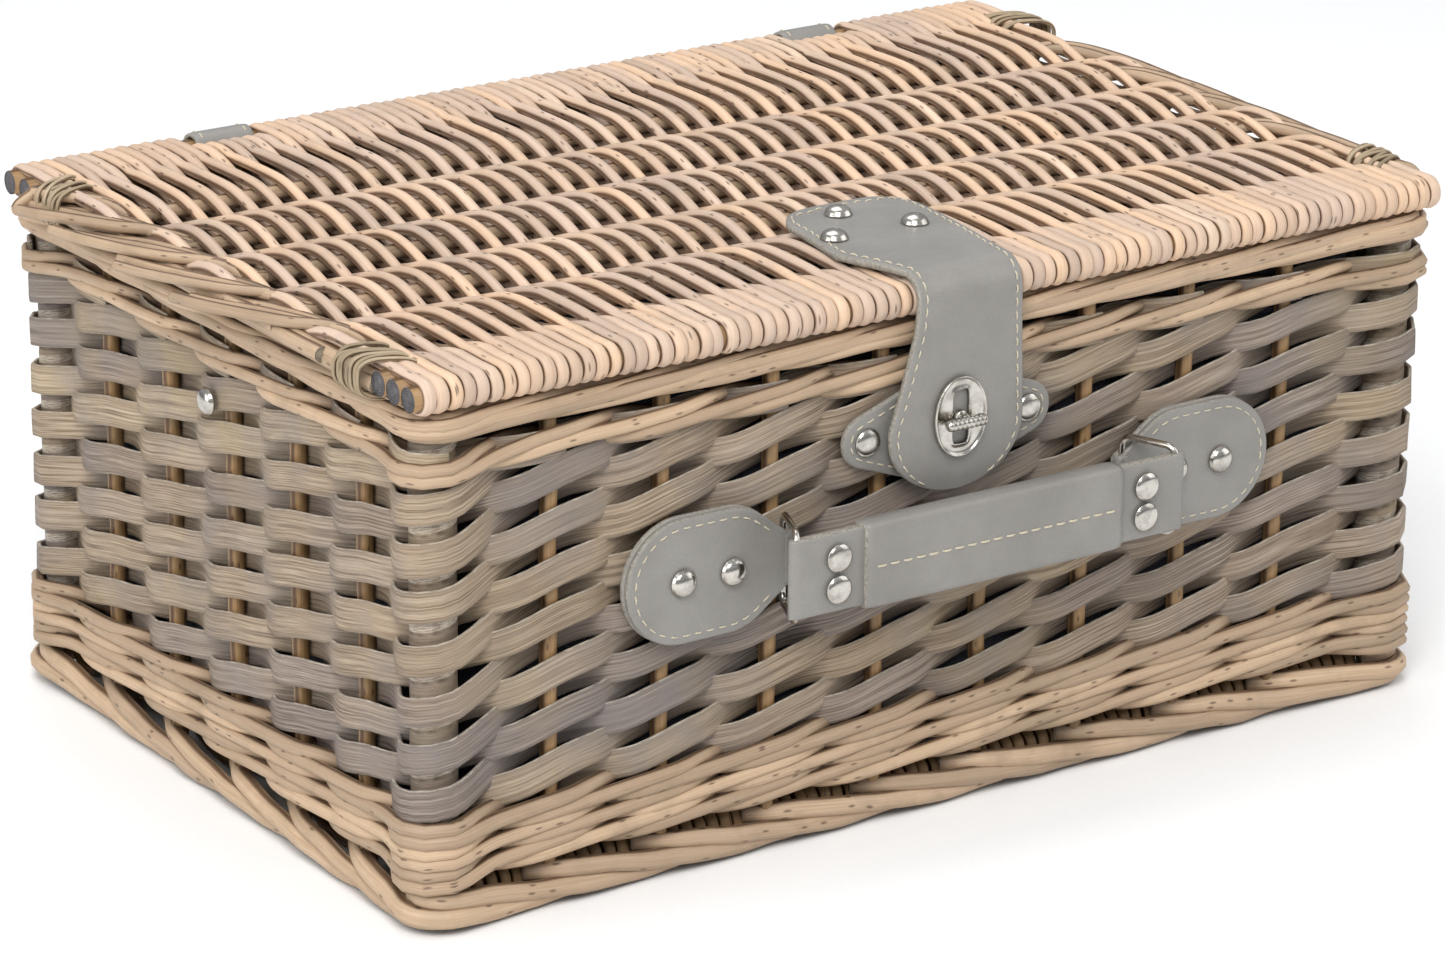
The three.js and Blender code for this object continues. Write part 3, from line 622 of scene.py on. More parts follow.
def on_wall(number, out, z):
    """Points at stake number `number` (it may be any real), `out` mm outwards and z up.

    The point is the line's point there plus its outward normal times `out`."""
    turns, rest = np.divmod(number, COUNT)
    reach = np.interp(rest, np.arange(COUNT + 1), STATIONS)
    x, y = (np.interp(reach, dense, dense_xy[:, k], period=PERIMETER) for k in (0, 1))
    tx, ty = (np.interp(reach, dense, dense_tangent[:, k], period=PERIMETER) for k in (0, 1))
    length = np.hypot(tx, ty)
    return np.stack([x + ty / length * out, y - tx / length * out, np.broadcast_to(z, x.shape)], -1)


def at_post(number):
    """1 at a corner post, 0 half a stake away or more, with a smooth slope between."""
    away = np.min([np.abs((number - p + COUNT / 2) % COUNT - COUNT / 2) for p in POSTS], axis=0)
    return np.clip(1 - away / 0.55, 0, 1) ** 2 * (3 - 2 * np.clip(1 - away / 0.55, 0, 1))


SAG, SPRING = 2.6, 1.5


def corner_dip(number):
    """How far the weave sags near a corner post, in mm: one bell down at it, one up a stake later."""
    away = np.stack([(number - p + COUNT / 2) % COUNT - COUNT / 2 for p in POSTS])
    down = SAG * np.exp(-((away + 0.1) / 0.5) ** 2)
    up = SPRING * np.exp(-((away - 1.0) / 0.5) ** 2)
    return np.sum(down - up, axis=0)


# %% [markdown]
# ## Upright stakes and corner posts
# Twenty-six round stakes stand in the walls. The thick corner posts are bound with a split strip,
# wound like a spiral staircase: the radius of a turned surface steps in at every turn of the spiral.

# %% Stakes and posts
UP = np.array([0.0, 0.0, 1.0])
WALE_LOW = span("lower_wale", 2)[0]
STRIP_LOW, STRIP_HIGH = span("strip_weave", 2)
UPPER_LOW = span("upper_wale", 2)[0]
RIM_LOW = span("rim_border", 2)[0]

stake_numbers = np.array([n for n in range(COUNT) if n not in POSTS], float)
STAKE_STEPS = 26
heights = np.linspace(WALE_LOW - 4, RIM_LOW + 3, STAKE_STEPS)
stake_lines = on_wall(np.repeat(stake_numbers[:, None], STAKE_STEPS, 1),
                      wander(len(stake_numbers), STAKE_STEPS, 0.5), heights[None])
stake_lines[..., :2] += wander(26, 26, 0.7)[..., None]
wall_stakes = rods(
    "wall_stakes", stake_lines, STAKE_RADIUS + wander(26, 26, 0.3), STAKE_RADIUS, (1, 0.3, 0),
    [brown_willow, pale_ends], corners=12, cut=1,
)
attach(wall_stakes, "basket")


def bound_post(corner):
    """A post with a strip wound round it: radius = core + step(place in the turn)."""
    x, y = (sum(span(f"corner_post_{corner}", axis)) / 2 for axis in (0, 1))
    low, high = span(f"corner_post_{corner}", 2)
    rows, columns = 150, 28
    z, angle = np.meshgrid(np.linspace(low, high, rows), np.arange(columns) / columns * 2 * np.pi,
                           indexing="ij")
    turn_height = 8.6
    place = (z / turn_height - angle / (2 * np.pi) + chance.random()) % 1
    band = 1 - np.clip((place - 0.9) / 0.1, 0, 1) * 0.9 - np.clip(0.06 - place, 0, 1) * 4
    radius = POST_RADIUS - 0.9 + 0.9 * band + 0.12 * np.sin(angle * 3 + z * 0.2)
    grid = np.stack([x + radius * np.cos(angle), y + radius * np.sin(angle), z], -1).reshape(-1, 3)
    numbers, cells = grid_faces(rows, columns, False, True)
    ends = np.array([[x, y, low], [x, y, high]])
    ring = np.arange(columns)
    bottom = np.stack([np.full(columns, len(grid)), np.roll(ring, -1), ring], -1)
    last = (rows - 1) * columns
    top = np.stack([np.full(columns, len(grid) + 1), last + ring, last + np.roll(ring, -1)], -1)
    round_way = cells[..., 1] / columns * 2 * np.pi * POST_RADIUS * MM
    across = (np.linspace(low, high, rows)[cells[..., 0]] / turn_height - cells[..., 1] / columns) * 0.5
    uvs = [np.stack([round_way, across], -1), np.full((2 * columns, 3, 2), 0.5)]
    index = np.concatenate([np.zeros(len(numbers)), np.ones(2 * columns)])
    points = np.concatenate([grid, ends])
    twist = np.floor((z / turn_height - angle / (2 * np.pi)))
    tint = np.concatenate([((twist * 0.37) % 1).ravel(), [0.5, 0.5]])
    # Painted shade: the depth attribute darkens the wound strip in the gaps between its turns.
    depth = np.concatenate([(1 - band).ravel().clip(0, 1), [0, 0]])
    post = new_mesh(f"bound_post_{corner}", points, [numbers, np.concatenate([bottom, top])], uvs, index,
                    {"tint": tint, "depth": depth})
    for material in (split_strips, pale_ends):
        post.data.materials.append(material)
    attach(post, "basket")
    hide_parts(f"corner_post_{corner}")


for corner in ("front_left", "front_right", "back_left", "back_right"):
    bound_post(corner)

# %% [markdown]
# ## The strip weave
# French randing: one strip starts at every stake, goes in front of one stake and behind the next,
# and climbs most of its width each time. Seen from outside, every stake has a strip in front of it at
# the same heights, and between the stakes each strip dives up and under its neighbour.

# %% Weave the split strips
FRONT_STRIP = 48.5
CLIMB = 8.7
STRIP_WIDE, STRIP_THICK = 5.45, 0.8
STROKES = 15.0
steps = int(STROKES * 12)
progress = np.linspace(-0.9, STROKES - 0.9, steps)
starts = np.arange(COUNT)[:, None]
within = np.broadcast_to(progress, (COUNT, steps))
jitter = chance.uniform(-0.07, 0.07, (COUNT, 1))
phase = within + jitter
outward = np.tanh(1.5 * np.cos(phase * np.pi)) / np.tanh(1.5)
rise = phase + 0.07 * np.sin(phase * 2 * np.pi + 0.6)
number = starts + within
post_here = at_post(number)
reach_out = STAKE_RADIUS + STRIP_THICK
swing = np.where(outward > 0, reach_out + post_here * (POST_RADIUS + STRIP_THICK - 2.2 - reach_out),
                 reach_out - 0.5 + post_here * 5.0)
strip_z = FRONT_STRIP + CLIMB * rise + wander(COUNT, steps, 0.8, waves=6)
strip_z = strip_z + chance.normal(0, 0.4, (COUNT, 1))
strip_z = np.clip(strip_z - corner_dip(number), STRIP_LOW - 3, STRIP_HIGH + 4.5)
strip_lines = on_wall(number, outward * swing + wander(COUNT, steps, 0.25), strip_z)
lean = wander(COUNT, steps, 0.16)[..., None] * np.array([0.5, 0.5, 0]) + UP
widths = STRIP_WIDE + wander(COUNT, steps, 0.35) + chance.normal(0, 0.15, (COUNT, 1))
strips = rods("woven_strips", strip_lines, widths, STRIP_THICK, lean, [split_strips, pale_ends],
              corners=12, square=0.36, cut=1, shade=np.clip(-0.35 - outward, 0, 1) * 0.45)
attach(strips, "basket")
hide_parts("strip_weave")

# %% [markdown]
# ## Waling
# Three rods are worked together: each goes in front of two stakes and behind one, a step after the
# last, and climbs one rod's thickness for each stake. Rounds stack up like a rope laid on its side.

# %% Rounds of waling
def waling(name, node, low, radius, row, rounds, strands=3, lifted=0.0, dip=0.0):
    """Rounds of `strands` rods. With p the place in the cycle, 0 to strands, the rod comes out at 0,
    lies outside until strands - 1 and goes in; z climbs one row for each stake while it is outside.
    Between the corners the rows are pressed up towards the top by the share `lifted`."""
    steps = COUNT * 10
    number = np.linspace(0, COUNT, steps, endpoint=False)
    lines, shades = [], []
    front = strands - 1
    for turn_of in range(rounds):
        for strand in range(strands):
            p = np.mod(number - strand + 0.5 + 0.04 * wander(1, steps, 1.0)[0], strands)
            out = smooth_steps(p, [0, 0.3, front - 0.35, front, front + 0.25, strands - 0.25, strands],
                               [0.2, 1, 1, 0.1, -1, -1, 0.2], period=strands, blur=0.1)
            lift = smooth_steps(p, [0, front, strands], [-front / 2, front / 2, -front / 2],
                                period=strands, blur=0.16)
            corner = at_post(number)
            swing = np.where(out > 0, STAKE_RADIUS + radius * 0.75 + corner * 3.0,
                             STAKE_RADIUS + radius * 0.6)
            z = low + radius + row * (front * turn_of + front / 2) + lift * row
            top = low + radius * 2 + row * front * rounds
            sway = wander(1, steps, 0.8, waves=7)[0] * (1 - corner)
            z = top - (top - z) * (1 - lifted * (1 - corner)) + sway
            lines.append(on_wall(number, out * swing, z - dip * corner_dip(number)))
            # Painted shade: each rod is darkened where it lies behind the stakes.
            shades.append(np.clip(0.35 - out, 0, 1))
    lines = np.array(lines)
    thickness = radius + wander(len(lines), steps, 0.28, waves=5)
    thickness = thickness + chance.normal(0, 0.12, (len(lines), 1))
    made = rods(name, lines, thickness, thickness, UP, [tan_willow], corners=9, closed=True,
                shade=np.array(shades))
    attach(made, "basket")
    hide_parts(node)
    return made


waling("lower_waling", "lower_wale", WALE_LOW, 2.55, 4.1, 3, lifted=0.13)
waling("upper_waling", "upper_wale", UPPER_LOW - 1.4, 2.35, 3.7, 1, dip=1.0)

# %% [markdown]
# ## The rolled rim and the foot border
# At the top each stake is bent over and woven into its neighbours: its end comes out between two
# stakes, climbs across three more and tucks in over the top. At the foot a thick rod
# starts at each stake, leans down to the ground and runs along it, so that the basket stands on them.

# %% Rim and foot
def leaning(name, node, starts, knots, outs, heights, radius, reach, materials,
            corner_out=2.0, taper=0.0):
    """One rod per start: `knots` are stake numbers past the start, and at each the rod lies
    outs mm outwards and heights mm up; between knots it follows a softened line."""
    steps = 64
    p = np.linspace(knots[0], knots[-1], steps)
    count = len(starts)
    nudge = chance.uniform(-0.08, 0.08, (count, 1))
    number = starts[:, None] + p[None] + nudge
    corner = at_post(number)
    out = smooth_steps(p, knots, outs, blur=reach)[None] + corner * corner_out + wander(count,
                                                                                        steps, 0.35)
    z = smooth_steps(p, knots, heights, blur=reach)[None] + wander(count, steps, 0.35)
    size = radius * (1 + wander(count, steps, 0.06)) + chance.normal(0, 0.14, (count, 1))
    size = size * (1 - taper * np.clip((p - knots[-1] + 0.6) / 0.6, 0, 1))
    made = rods(name, on_wall(number, out, z), size, size, UP, materials, corners=10, cut=1,
                shade=np.clip(-out / 6, 0, 1))
    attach(made, "basket")
    if node:
        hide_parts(node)
    return made


every = np.arange(COUNT, dtype=float)
leaning("rim_rods", "rim_border", every, [-0.5, 0, 0.6, 2.2, 3.0, 3.4],
        [-3, 3.6, 5.2, 5.0, 2.0, -3.0],
        [RIM_LOW + 2.2, RIM_LOW + 2.4, RIM_LOW + 3.0, RIM_LOW + 6.4, RIM_LOW + 7.6, RIM_LOW + 7.2],
        2.45, 0.2, [tan_willow, pale_ends])
leaning("rim_top_rods", None, every + 0.35, [-0.25, 0, 0.5, 1.4, 2.0],
        [-4.2, -0.5, 0.6, -1.2, -4.0],
        [RIM_LOW + 4.0, RIM_LOW + 6.6, RIM_LOW + 7.5, RIM_LOW + 7.7, RIM_LOW + 7.0],
        2.7, 0.12, [tan_willow, brown_willow])
leaning("foot_rods", "foot_border", every, [-0.22, -0.02, 0.2, 0.6, 1.0, 1.5, 2.2],
        [-4, 1.5, 4.2, 5.4, 5.2, 4.6, 2.4],
        [11.5, 12.0, 11.8, 9.6, 7.0, 4.8, 3.6],
        3.45, 0.1, [tan_willow, pale_ends], corner_out=2.2, taper=0.35)

# %% [markdown]
# ## A woven mat
# The lid and the base are made alike: weavers run from front to back, over one stake and under the
# next, and at each edge they wrap round the edge rods. A rod is round in the field and flattens into
# a band where it is pulled round the edge, so its width and thickness are functions of its path.

# %% Lines for a mat of weavers
def mat_profile(front, back, middle, stakes, lift, wrap, over_first):
    """One weaver's line in Y and Z with a flatness value: under, round and over the front edge rods,
    across the field as a wave through the stakes, then over, round and under the back edge rods."""
    (front_y, front_in), (back_y, back_in) = front, back
    turn = np.radians(np.linspace(270, 90, 13))
    start_y = [front_in + 3, front_in]
    edge = [(y, middle - wrap, 1.0) for y in start_y]
    edge += [(front_y + wrap * np.cos(a), middle + wrap * np.sin(a), 1.0) for a in turn]
    edge += [((front_y + front_in) / 2, middle + wrap - 0.15, 1.0), (front_in, middle + wrap, 0.9)]
    far = [(back_in, middle + wrap, 0.25), ((back_y + back_in) / 2, middle + wrap + 0.3, 0.4)]
    far += [(back_y - wrap * np.cos(a), middle + wrap * np.sin(a), 1.0) for a in turn[::-1]]
    far += [(back_in, middle - wrap, 1.0), (back_in - 3, middle - wrap, 1.0)]
    sides = [1 if (k % 2 == 0) == over_first else -1 for k in range(len(stakes))]
    knots = [front_in + 4] + list(stakes) + [back_in - 4]
    values = [0.62] + sides + [0.62]
    field_y = np.linspace(front_in + 4.5, back_in - 4.5, 78)
    wave = np.interp(field_y, knots, values)
    ease = np.sin(np.clip(wave, -1, 1) * np.pi / 2)
    for _ in range(3):
        ease[1:-1] = (ease[:-2] + ease[1:-1] * 2 + ease[2:]) / 4
    flat = np.clip(1 - np.minimum(field_y - front_in, back_in - field_y) / 12, 0, 1) * 0.8
    field = list(zip(field_y, middle + ease * lift, flat))
    return np.array(edge + field + far)


def mat(name, node, xs, profiles, kinds, radius, band_wide, band_thick, body, materials,
        shade_below):
    """Weavers at each x: profiles[kind] gives the line, and flatness mixes round and band sections."""
    count = len(xs)
    lines = np.stack([profiles[k] for k in kinds])
    steps = lines.shape[1]
    x = xs[:, None] + wander(count, steps, 0.45) + chance.normal(0, 0.12, (count, 1))
    shift = wander(count, steps, 0.22) * (1 - lines[..., 2])
    points = np.stack([x, lines[..., 0], lines[..., 1] + shift], -1)
    flat = lines[..., 2]
    fat = 1 + chance.normal(0, 0.045, (count, 1)) + wander(count, steps, 0.05)
    wide = (radius + (band_wide - radius) * flat) * fat
    thick = (radius + (band_thick - radius) * flat) * fat
    # Painted shade: the round part of each weaver is darkened where it dips below shade_below.
    depth = np.clip((shade_below - lines[..., 1]) / 5, 0, 1) * (1 - flat)
    made = rods(name, points, wide, thick, (1, 0, 0), materials, corners=8, cut=1, shade=depth)
    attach(made, body)
    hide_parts(*node)
    return made


# %% Weave the lid
ROD_Z = sum(span("lid_front_rod_outer", 2)) / 2
ROD_RADIUS = (span("lid_front_rod_outer", 2)[1] - span("lid_front_rod_outer", 2)[0]) / 2
front_ys = [sum(span(f"lid_front_rod_{k}", 1)) / 2 for k in ("outer", "middle", "inner")]
back_ys = [sum(span(f"lid_back_rod_{k}", 1)) / 2 for k in ("outer", "middle", "inner")]
lid_stake_ys = [sum(span(f"lid_stake_{k}", 1)) / 2 for k in range(1, 6)]
WEAVER, BAND_THICK, WRAPPED = 2.25, 1.5, 4.75
low_x, high_x = span("lid_weave", 0)
weaver_count = 84
weaver_xs = np.linspace(low_x + 2.6, high_x - 2.6, weaver_count)
weaver_pitch = weaver_xs[1] - weaver_xs[0]
loop_edges = [span(f"hinge_loop_{side}", 0) for side in ("left", "right")]
at_loop = np.array([any(a - 2.9 < x < b + 2.9 for a, b in loop_edges) for x in weaver_xs])
profiles = []
for behind in (back_ys[0], back_ys[1]):
    for over_first in (True, False):
        profiles.append(mat_profile((front_ys[0], front_ys[2]), (behind, back_ys[2]), ROD_Z,
                                    lid_stake_ys,
                                    2.8 + WEAVER, WRAPPED, over_first))
kinds = np.arange(weaver_count) % 2 + 2 * at_loop
mat("lid_weavers", ["lid_weave"], weaver_xs, profiles, kinds, WEAVER, weaver_pitch / 2 + 0.02,
    BAND_THICK, "lid",
    [pale_willow, pale_ends], ROD_Z + 1)

# %% [markdown]
# ## Edge rods and the lid's ends
# Three thick rods run along the front and the back edge; their sawn ends show at the corners. The
# five lid stakes run on past the weave. Beside each, short rods fan out, three on the left and two on
# the right, and bend along the edge over the next ones.

# %% Edge rods, stakes and end borders
for edge, ys in (("front", front_ys), ("back", back_ys)):
    half = span("lid_front_rod_outer", 0)[1]
    steps = 40
    x = np.linspace(-half + 1.5, half - 8, steps)
    lines = np.stack([np.stack([x, np.full(steps, y), np.full(steps, ROD_Z)], -1) for y in ys])
    lines[..., 2] += wander(3, steps, 0.12)
    made = rods(f"lid_{edge}_edge_rods", lines, ROD_RADIUS - 0.15, ROD_RADIUS - 0.15, UP,
                [brown_willow, cut_ends], corners=16, cut=1)
    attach(made, "lid")
    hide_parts(*[f"lid_{edge}_rod_{k}" for k in ("outer", "middle", "inner")])


def through(points, steps):
    """A smooth line through a few points, by cubic pieces with Catmull-Rom slopes."""
    points = np.array(points, float)
    ends = np.concatenate([[2 * points[0] - points[1]], points, [2 * points[-1] - points[-2]]])
    t = np.linspace(0, len(points) - 1 - 1e-9, steps)
    k = t.astype(int)
    f = (t - k)[:, None]
    a, b, c, d = ends[k], ends[k + 1], ends[k + 2], ends[k + 3]
    square, cube = 2 * a - 5 * b + 4 * c - d, 3 * b - a - 3 * c + d
    return 0.5 * (2 * b + (c - a) * f + square * f**2 + cube * f**3)


border_low, border_high = span("lid_end_border_right", 0)
BORDER_STEPS = 110
border_at = np.arange(BORDER_STEPS)
stake_lines, stake_sizes = [], []
for y in lid_stake_ys:
    path = through([(-border_low + 8, y, 0), (0, y, 0), (border_low - 8, y, 0)], BORDER_STEPS)
    stake_lines.append(path + np.array([0, 0, ROD_Z]))
    stake_sizes.append(np.full(BORDER_STEPS, 2.8))
    for fan in (-1, 0, 1):
        far = chance.uniform(-9, 9)
        left = [(-border_low + 14, y + fan * 1.6, 0),
                (-border_low + 6, y + 1 + fan * 3.8, 2.4 + fan * 0.5),
                (-border_low + 1.0 - fan * 1.6, y + 8 + fan * 4.0, 4.2 + fan * 0.6),
                (-border_low - 4.2 - fan * 4.4, y + 24, 3.8 + fan * 0.5),
                (-border_low - 8.2 - fan * 5.0, y + 44, 2.0),
                (-border_low - 12.6 - fan * 5.0, y + 66 + far / 2, -0.4),
                (-border_low - 14.4 - fan * 4.7, y + 84 + far, -2.4)]
        stake_lines.append(through(left, BORDER_STEPS) + np.array([0, 0, ROD_Z]))
        swell = np.interp(border_at, [0, 25, BORDER_STEPS - 1], [2.0, 2.15, 2.1])
        stake_sizes.append(swell + chance.normal(0, 0.08))
    for fan in (-1, 1):
        far = chance.uniform(-10, 10)
        right = [(border_low - 14, y + fan, 0), (border_low - 5, y - 2 + fan * 2.4, 2.6),
                 (border_low + 3 + fan * 1.4, y - 12 + fan * 2, 3.4),
                 (border_low + 9 + fan * 2.2, y - 30, 2.4),
                 (border_low + 13 + fan * 2.4, y - 54, 0.4), (border_low + 14 + fan * 2.4, y - 78, -1.2),
                 (border_low + 11 + fan * 2, y - 104 + far, -2.6)]
        stake_lines.append(through(right, BORDER_STEPS) + np.array([0, 0, ROD_Z]))
        swell = np.interp(border_at, [0, 25, BORDER_STEPS - 1], [2.0, 2.35, 2.1])
        stake_sizes.append(swell + chance.normal(0, 0.1))
print("end border from", border_low, "to", border_high)
field_low, field_high = span("lid_end_border_left", 1)
stake_lines = np.array(stake_lines)
stake_lines[..., 1] = np.clip(stake_lines[..., 1], field_low - 4, field_high + 4)
made = rods("lid_stakes", stake_lines, np.array(stake_sizes), np.array(stake_sizes), UP,
            [tan_willow, pale_ends], corners=10, cut=1)
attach(made, "lid")
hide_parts(*[f"lid_stake_{k}" for k in range(1, 6)])

border_lines, border_sizes = [], []
for k, (y0, y1, x0, x1, z0, z1) in enumerate((
    (field_low - 1, field_high + 1, 7.0, 7.0, -2.6, -2.6),
    (field_low - 1, field_low + 92, 4.4, 9.4, -1.0, 0.6),
    (field_low + 60, field_high + 1, 8.8, 5.0, 0.4, -1.0),
    (field_low + 30, field_low + 150, 9.8, 4.6, -0.6, -2.4),
)):
    for sign in (-1, 1):
        if sign > 0 and k in (1, 2):
            continue
        ends = np.linspace(0, 1, 50)
        edge_x = np.interp(ends, [0, 1], [x0, x1]) if sign < 0 else np.full(50, 11.0)
        path = np.stack([sign * (border_low + edge_x), y0 + (y1 - y0) * ends,
                         ROD_Z + z0 + (z1 - z0) * ends], -1)
        path[:, 0] += wander(1, 50, 0.6)[0]
        border_lines.append(path)
        border_sizes.append(np.full(50, 2.9 if sign < 0 else 2.6))
for side, sign in (("left", -1), ("right", 1)):
    chosen = [i for i, line in enumerate(border_lines) if line[0, 0] * sign > 0]
    made = rods(f"lid_end_rods_{side}", np.array([border_lines[i] for i in chosen]),
                np.array([border_sizes[i] for i in chosen]),
                np.array([border_sizes[i] for i in chosen]), UP,
                [tan_willow, pale_ends], corners=10, cut=1)
    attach(made, "lid")
    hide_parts(f"lid_end_border_{side}")

# %% [markdown]
# ### Corner bindings
# Where an end border meets the edge rods, a thin split skein is wound round it eight times.
# Each turn is a squarish loop that leans to one side, and the turns cross a little as wound cane does.

# %% Bind the corners
def binding(corner):
    """Leaning loops round the end border: x and z follow a superellipse, y leans with x."""
    node = f"corner_binding_{corner}"
    (x0, x1), (y0, y1), (z0, z1) = (span(node, axis) for axis in range(3))
    sign = 1 if x1 > 0 else -1
    way = 1 if corner.startswith("front") else -1
    turns, steps = 8, 40
    a = np.linspace(0, 2 * np.pi, steps, endpoint=False)
    loops = []
    for k in range(turns):
        half_x = (x1 - x0) / 2 + 1.0 + chance.uniform(-0.5, 0.9)
        half_z = (z1 - z0) / 2 + 0.5 + chance.uniform(-0.3, 0.9)
        x = np.sign(np.cos(a)) * np.abs(np.cos(a)) ** 0.7 * half_x - sign * 3.5
        z = np.sign(np.sin(a)) * np.abs(np.sin(a)) ** 0.6 * half_z
        slope = 0.34 + chance.uniform(-0.26, 0.26)
        y = (y0 + y1) / 2 + (k - (turns - 1) / 2) * 2.15 + way * sign * x * slope
        y = y + np.sin(a + chance.uniform(0, 6)) * 0.7
        loops.append(np.stack([(x0 + x1) / 2 + x, y, (z0 + z1) / 2 + z], -1))
    made = rods(f"skein_{corner}", np.array(loops), 0.9, 0.8, (0, 1, 0), [skein_willow], corners=8,
                closed=True)
    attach(made, "lid")
    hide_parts(node)


for corner in ("front_left", "front_right", "back_left", "back_right"):
    binding(corner)

# %% [markdown]
# ## The woven base
# The base is a mat like the lid's, a little smaller. Its weavers wrap round an edge rod, and their
# wraps show as short upright bars in the gaps of the foot border.

# %% Weave the base
base_low, base_high = span("base_panel", 0)
base_front, base_back = span("base_panel", 1)
base_top = span("base_panel", 2)[1]
base_z = base_top - 7.4
base_stakes = np.linspace(base_front + 30, base_back - 30, 6)
base_wrap = 5.0
profiles = [
    mat_profile((base_front + 1.6, base_front + 7), (base_back - 1.6, base_back - 7), base_z,
                base_stakes, 4.6,
                base_wrap, over_first)
    for over_first in (True, False)
]
base_xs = np.linspace(base_low + 4, base_high - 4, 76)
mat("base_weavers", ["base_panel"], base_xs, profiles, np.arange(76) % 2, 2.3, 2.5, 1.5, "basket",
    [brown_willow, pale_ends], base_z)
base_lines = []
for y in [base_front + 4.5, *base_stakes, base_back - 4.5]:
    x = np.linspace(base_low + 2, base_high - 2, 30)
    base_lines.append(np.stack([x, np.full(30, y), np.full(30, base_z)], -1))
base_sticks = rods("base_sticks", np.array(base_lines), 2.4, 2.4, UP, [brown_willow, pale_ends],
                   corners=8, cut=1)
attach(base_sticks, "basket")

# %% [markdown]
# ## The cloth lining
# The lining is a sewn tub of dark cloth, tied just inside the rim. Its surface is a profile (up the
# outside, over the hem, down the inside and across the floor) carried round a rounded rectangle,
# with soft upright folds that fade out towards the hem and the floor.

# %% Sew the lining
def lining_tub():
    """Rings of a rounded rectangle: inset and height come from the profile, folds from slow waves."""
    (x0, x1), (y0, y1), (low, high) = (span("cloth_lining", axis) for axis in range(3))
    columns = 220
    corner = 30.0
    line = rounded_line(x1 - 0.6, y1 - 0.6, corner, steps=24)
    reach = np.concatenate([[0], np.cumsum(np.linalg.norm(np.diff(line, axis=0), axis=1))])
    at = np.linspace(0, reach[-1], columns, endpoint=False)
    xy = np.stack([np.interp(at, reach, line[:, k]) for k in (0, 1)], -1)
    tangent = unit(np.roll(xy, -1, axis=0) - np.roll(xy, 1, axis=0))
    inward = np.stack([-tangent[:, 1], tangent[:, 0]], -1)
    walls = 16
    heights = np.concatenate([np.linspace(low, high - 0.6, walls), [high, high],
                              np.linspace(high - 0.6, low + 1.6, walls)])
    insets = np.concatenate([np.zeros(walls), [0.3, 0.9], np.full(walls, 1.2)])
    insets[0], insets[-1] = 1.0, 2.2
    spread = (heights - low) / (high - low)
    folds = sum(np.sin(at / reach[-1] * 2 * np.pi * f + chance.uniform(0, 6)) for f in (9, 14, 23,
                                                                                        31)) / 4
    push = np.clip(folds, -0.2, 1)[None] * (np.sin(np.clip(spread, 0, 1) * np.pi)[:, None]) * 2.6
    shift = insets[:, None] + np.clip(push, 0, None)
    rings = np.concatenate([xy[None] + inward[None] * shift[..., None],
                            np.broadcast_to(heights[:, None, None], (len(heights), columns, 1))], -1)
    floors = [(low, k) for k in (0.35, 0.7)], [(low + 1.6, k) for k in (0.7, 0.35)]
    under = [np.concatenate([xy * k, np.full((columns, 1), z)], -1)[None] for z, k in floors[0]]
    above = [np.concatenate([xy * k, np.full((columns, 1), z)], -1)[None] for z, k in floors[1]]
    grid = np.concatenate(under + [rings] + above)
    rows = len(grid)
    numbers, cells = grid_faces(rows, columns, False, True)
    ring = np.arange(columns)
    count = rows * columns
    ends = np.array([[0, 0, low], [0, 0, low + 1.6]])
    first = np.stack([np.full(columns, count), np.roll(ring, -1), ring], -1)
    last = (rows - 1) * columns
    final = np.stack([np.full(columns, count + 1), last + ring, last + np.roll(ring, -1)], -1)
    uvs = [cells / 100.0, np.full((2 * columns, 3, 2), 0.5)]
    points = np.concatenate([grid.reshape(-1, 3), ends])
    index = np.zeros(len(numbers) + 2 * columns)
    tub = new_mesh("lining", points, [numbers, np.concatenate([first, final])], uvs, index,
                   {"tint": np.zeros(len(points)), "depth": np.zeros(len(points))})
    tub.data.materials.append(navy_cloth)
    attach(tub, "basket")
    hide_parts("cloth_lining")


lining_tub()

# %% [markdown]
# ## Leather pieces
# Straps are a flat outline carried along a line, with the half width a function of the way along.
# Flat plates, such as the handle's tabs, are rings of one outline: full size at the edge, drawn in at
# both faces, so the edge is softly rounded. Stitches are short thread rods that dip in at their ends.

# %% Plates and stitches
def cut_sides(thing, corners=20):
    """The faces beside the outline's first and opposite corners are the cut edges."""
    mesh = thing.data
    index = np.zeros(len(mesh.polygons), np.int32)
    mesh.polygons.foreach_get("material_index", index)
    sizes = np.zeros(len(mesh.polygons), np.int32)
    mesh.polygons.foreach_get("loop_total", sizes)
    column = np.arange(len(index)) % corners
    side = np.isin(column, (0, corners - 1, corners // 2 - 1, corners // 2))
    index[side & (sizes == 4)] = 1
    mesh.polygons.foreach_set("material_index", index)


def dressed(made, body, node):
    """Rides on its body and stands for its node or nodes."""
    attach(made, body)
    if node:
        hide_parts(*([node] if isinstance(node, str) else node))
    return made


def hull_outline(circles, steps=72):
    """The line round some circles (x, z, radius): at each angle, the one that reaches furthest."""
    a = np.linspace(0, 2 * np.pi, steps, endpoint=False)
    way = np.stack([np.cos(a), np.sin(a)], -1)
    circles = np.array(circles, float)
    reach = way @ circles[:, :2].T + circles[:, 2]
    best = np.argmax(reach, axis=1)
    corners = circles[best, :2] + way * circles[best, 2:3]
    ring = np.concatenate([corners, corners[:1]])
    length = np.concatenate([[0], np.cumsum(np.linalg.norm(np.diff(ring, axis=0), axis=1))])
    at = np.linspace(0, length[-1], steps * 2, endpoint=False)
    return np.stack([np.interp(at, length, ring[:, k]) for k in (0, 1)], -1)


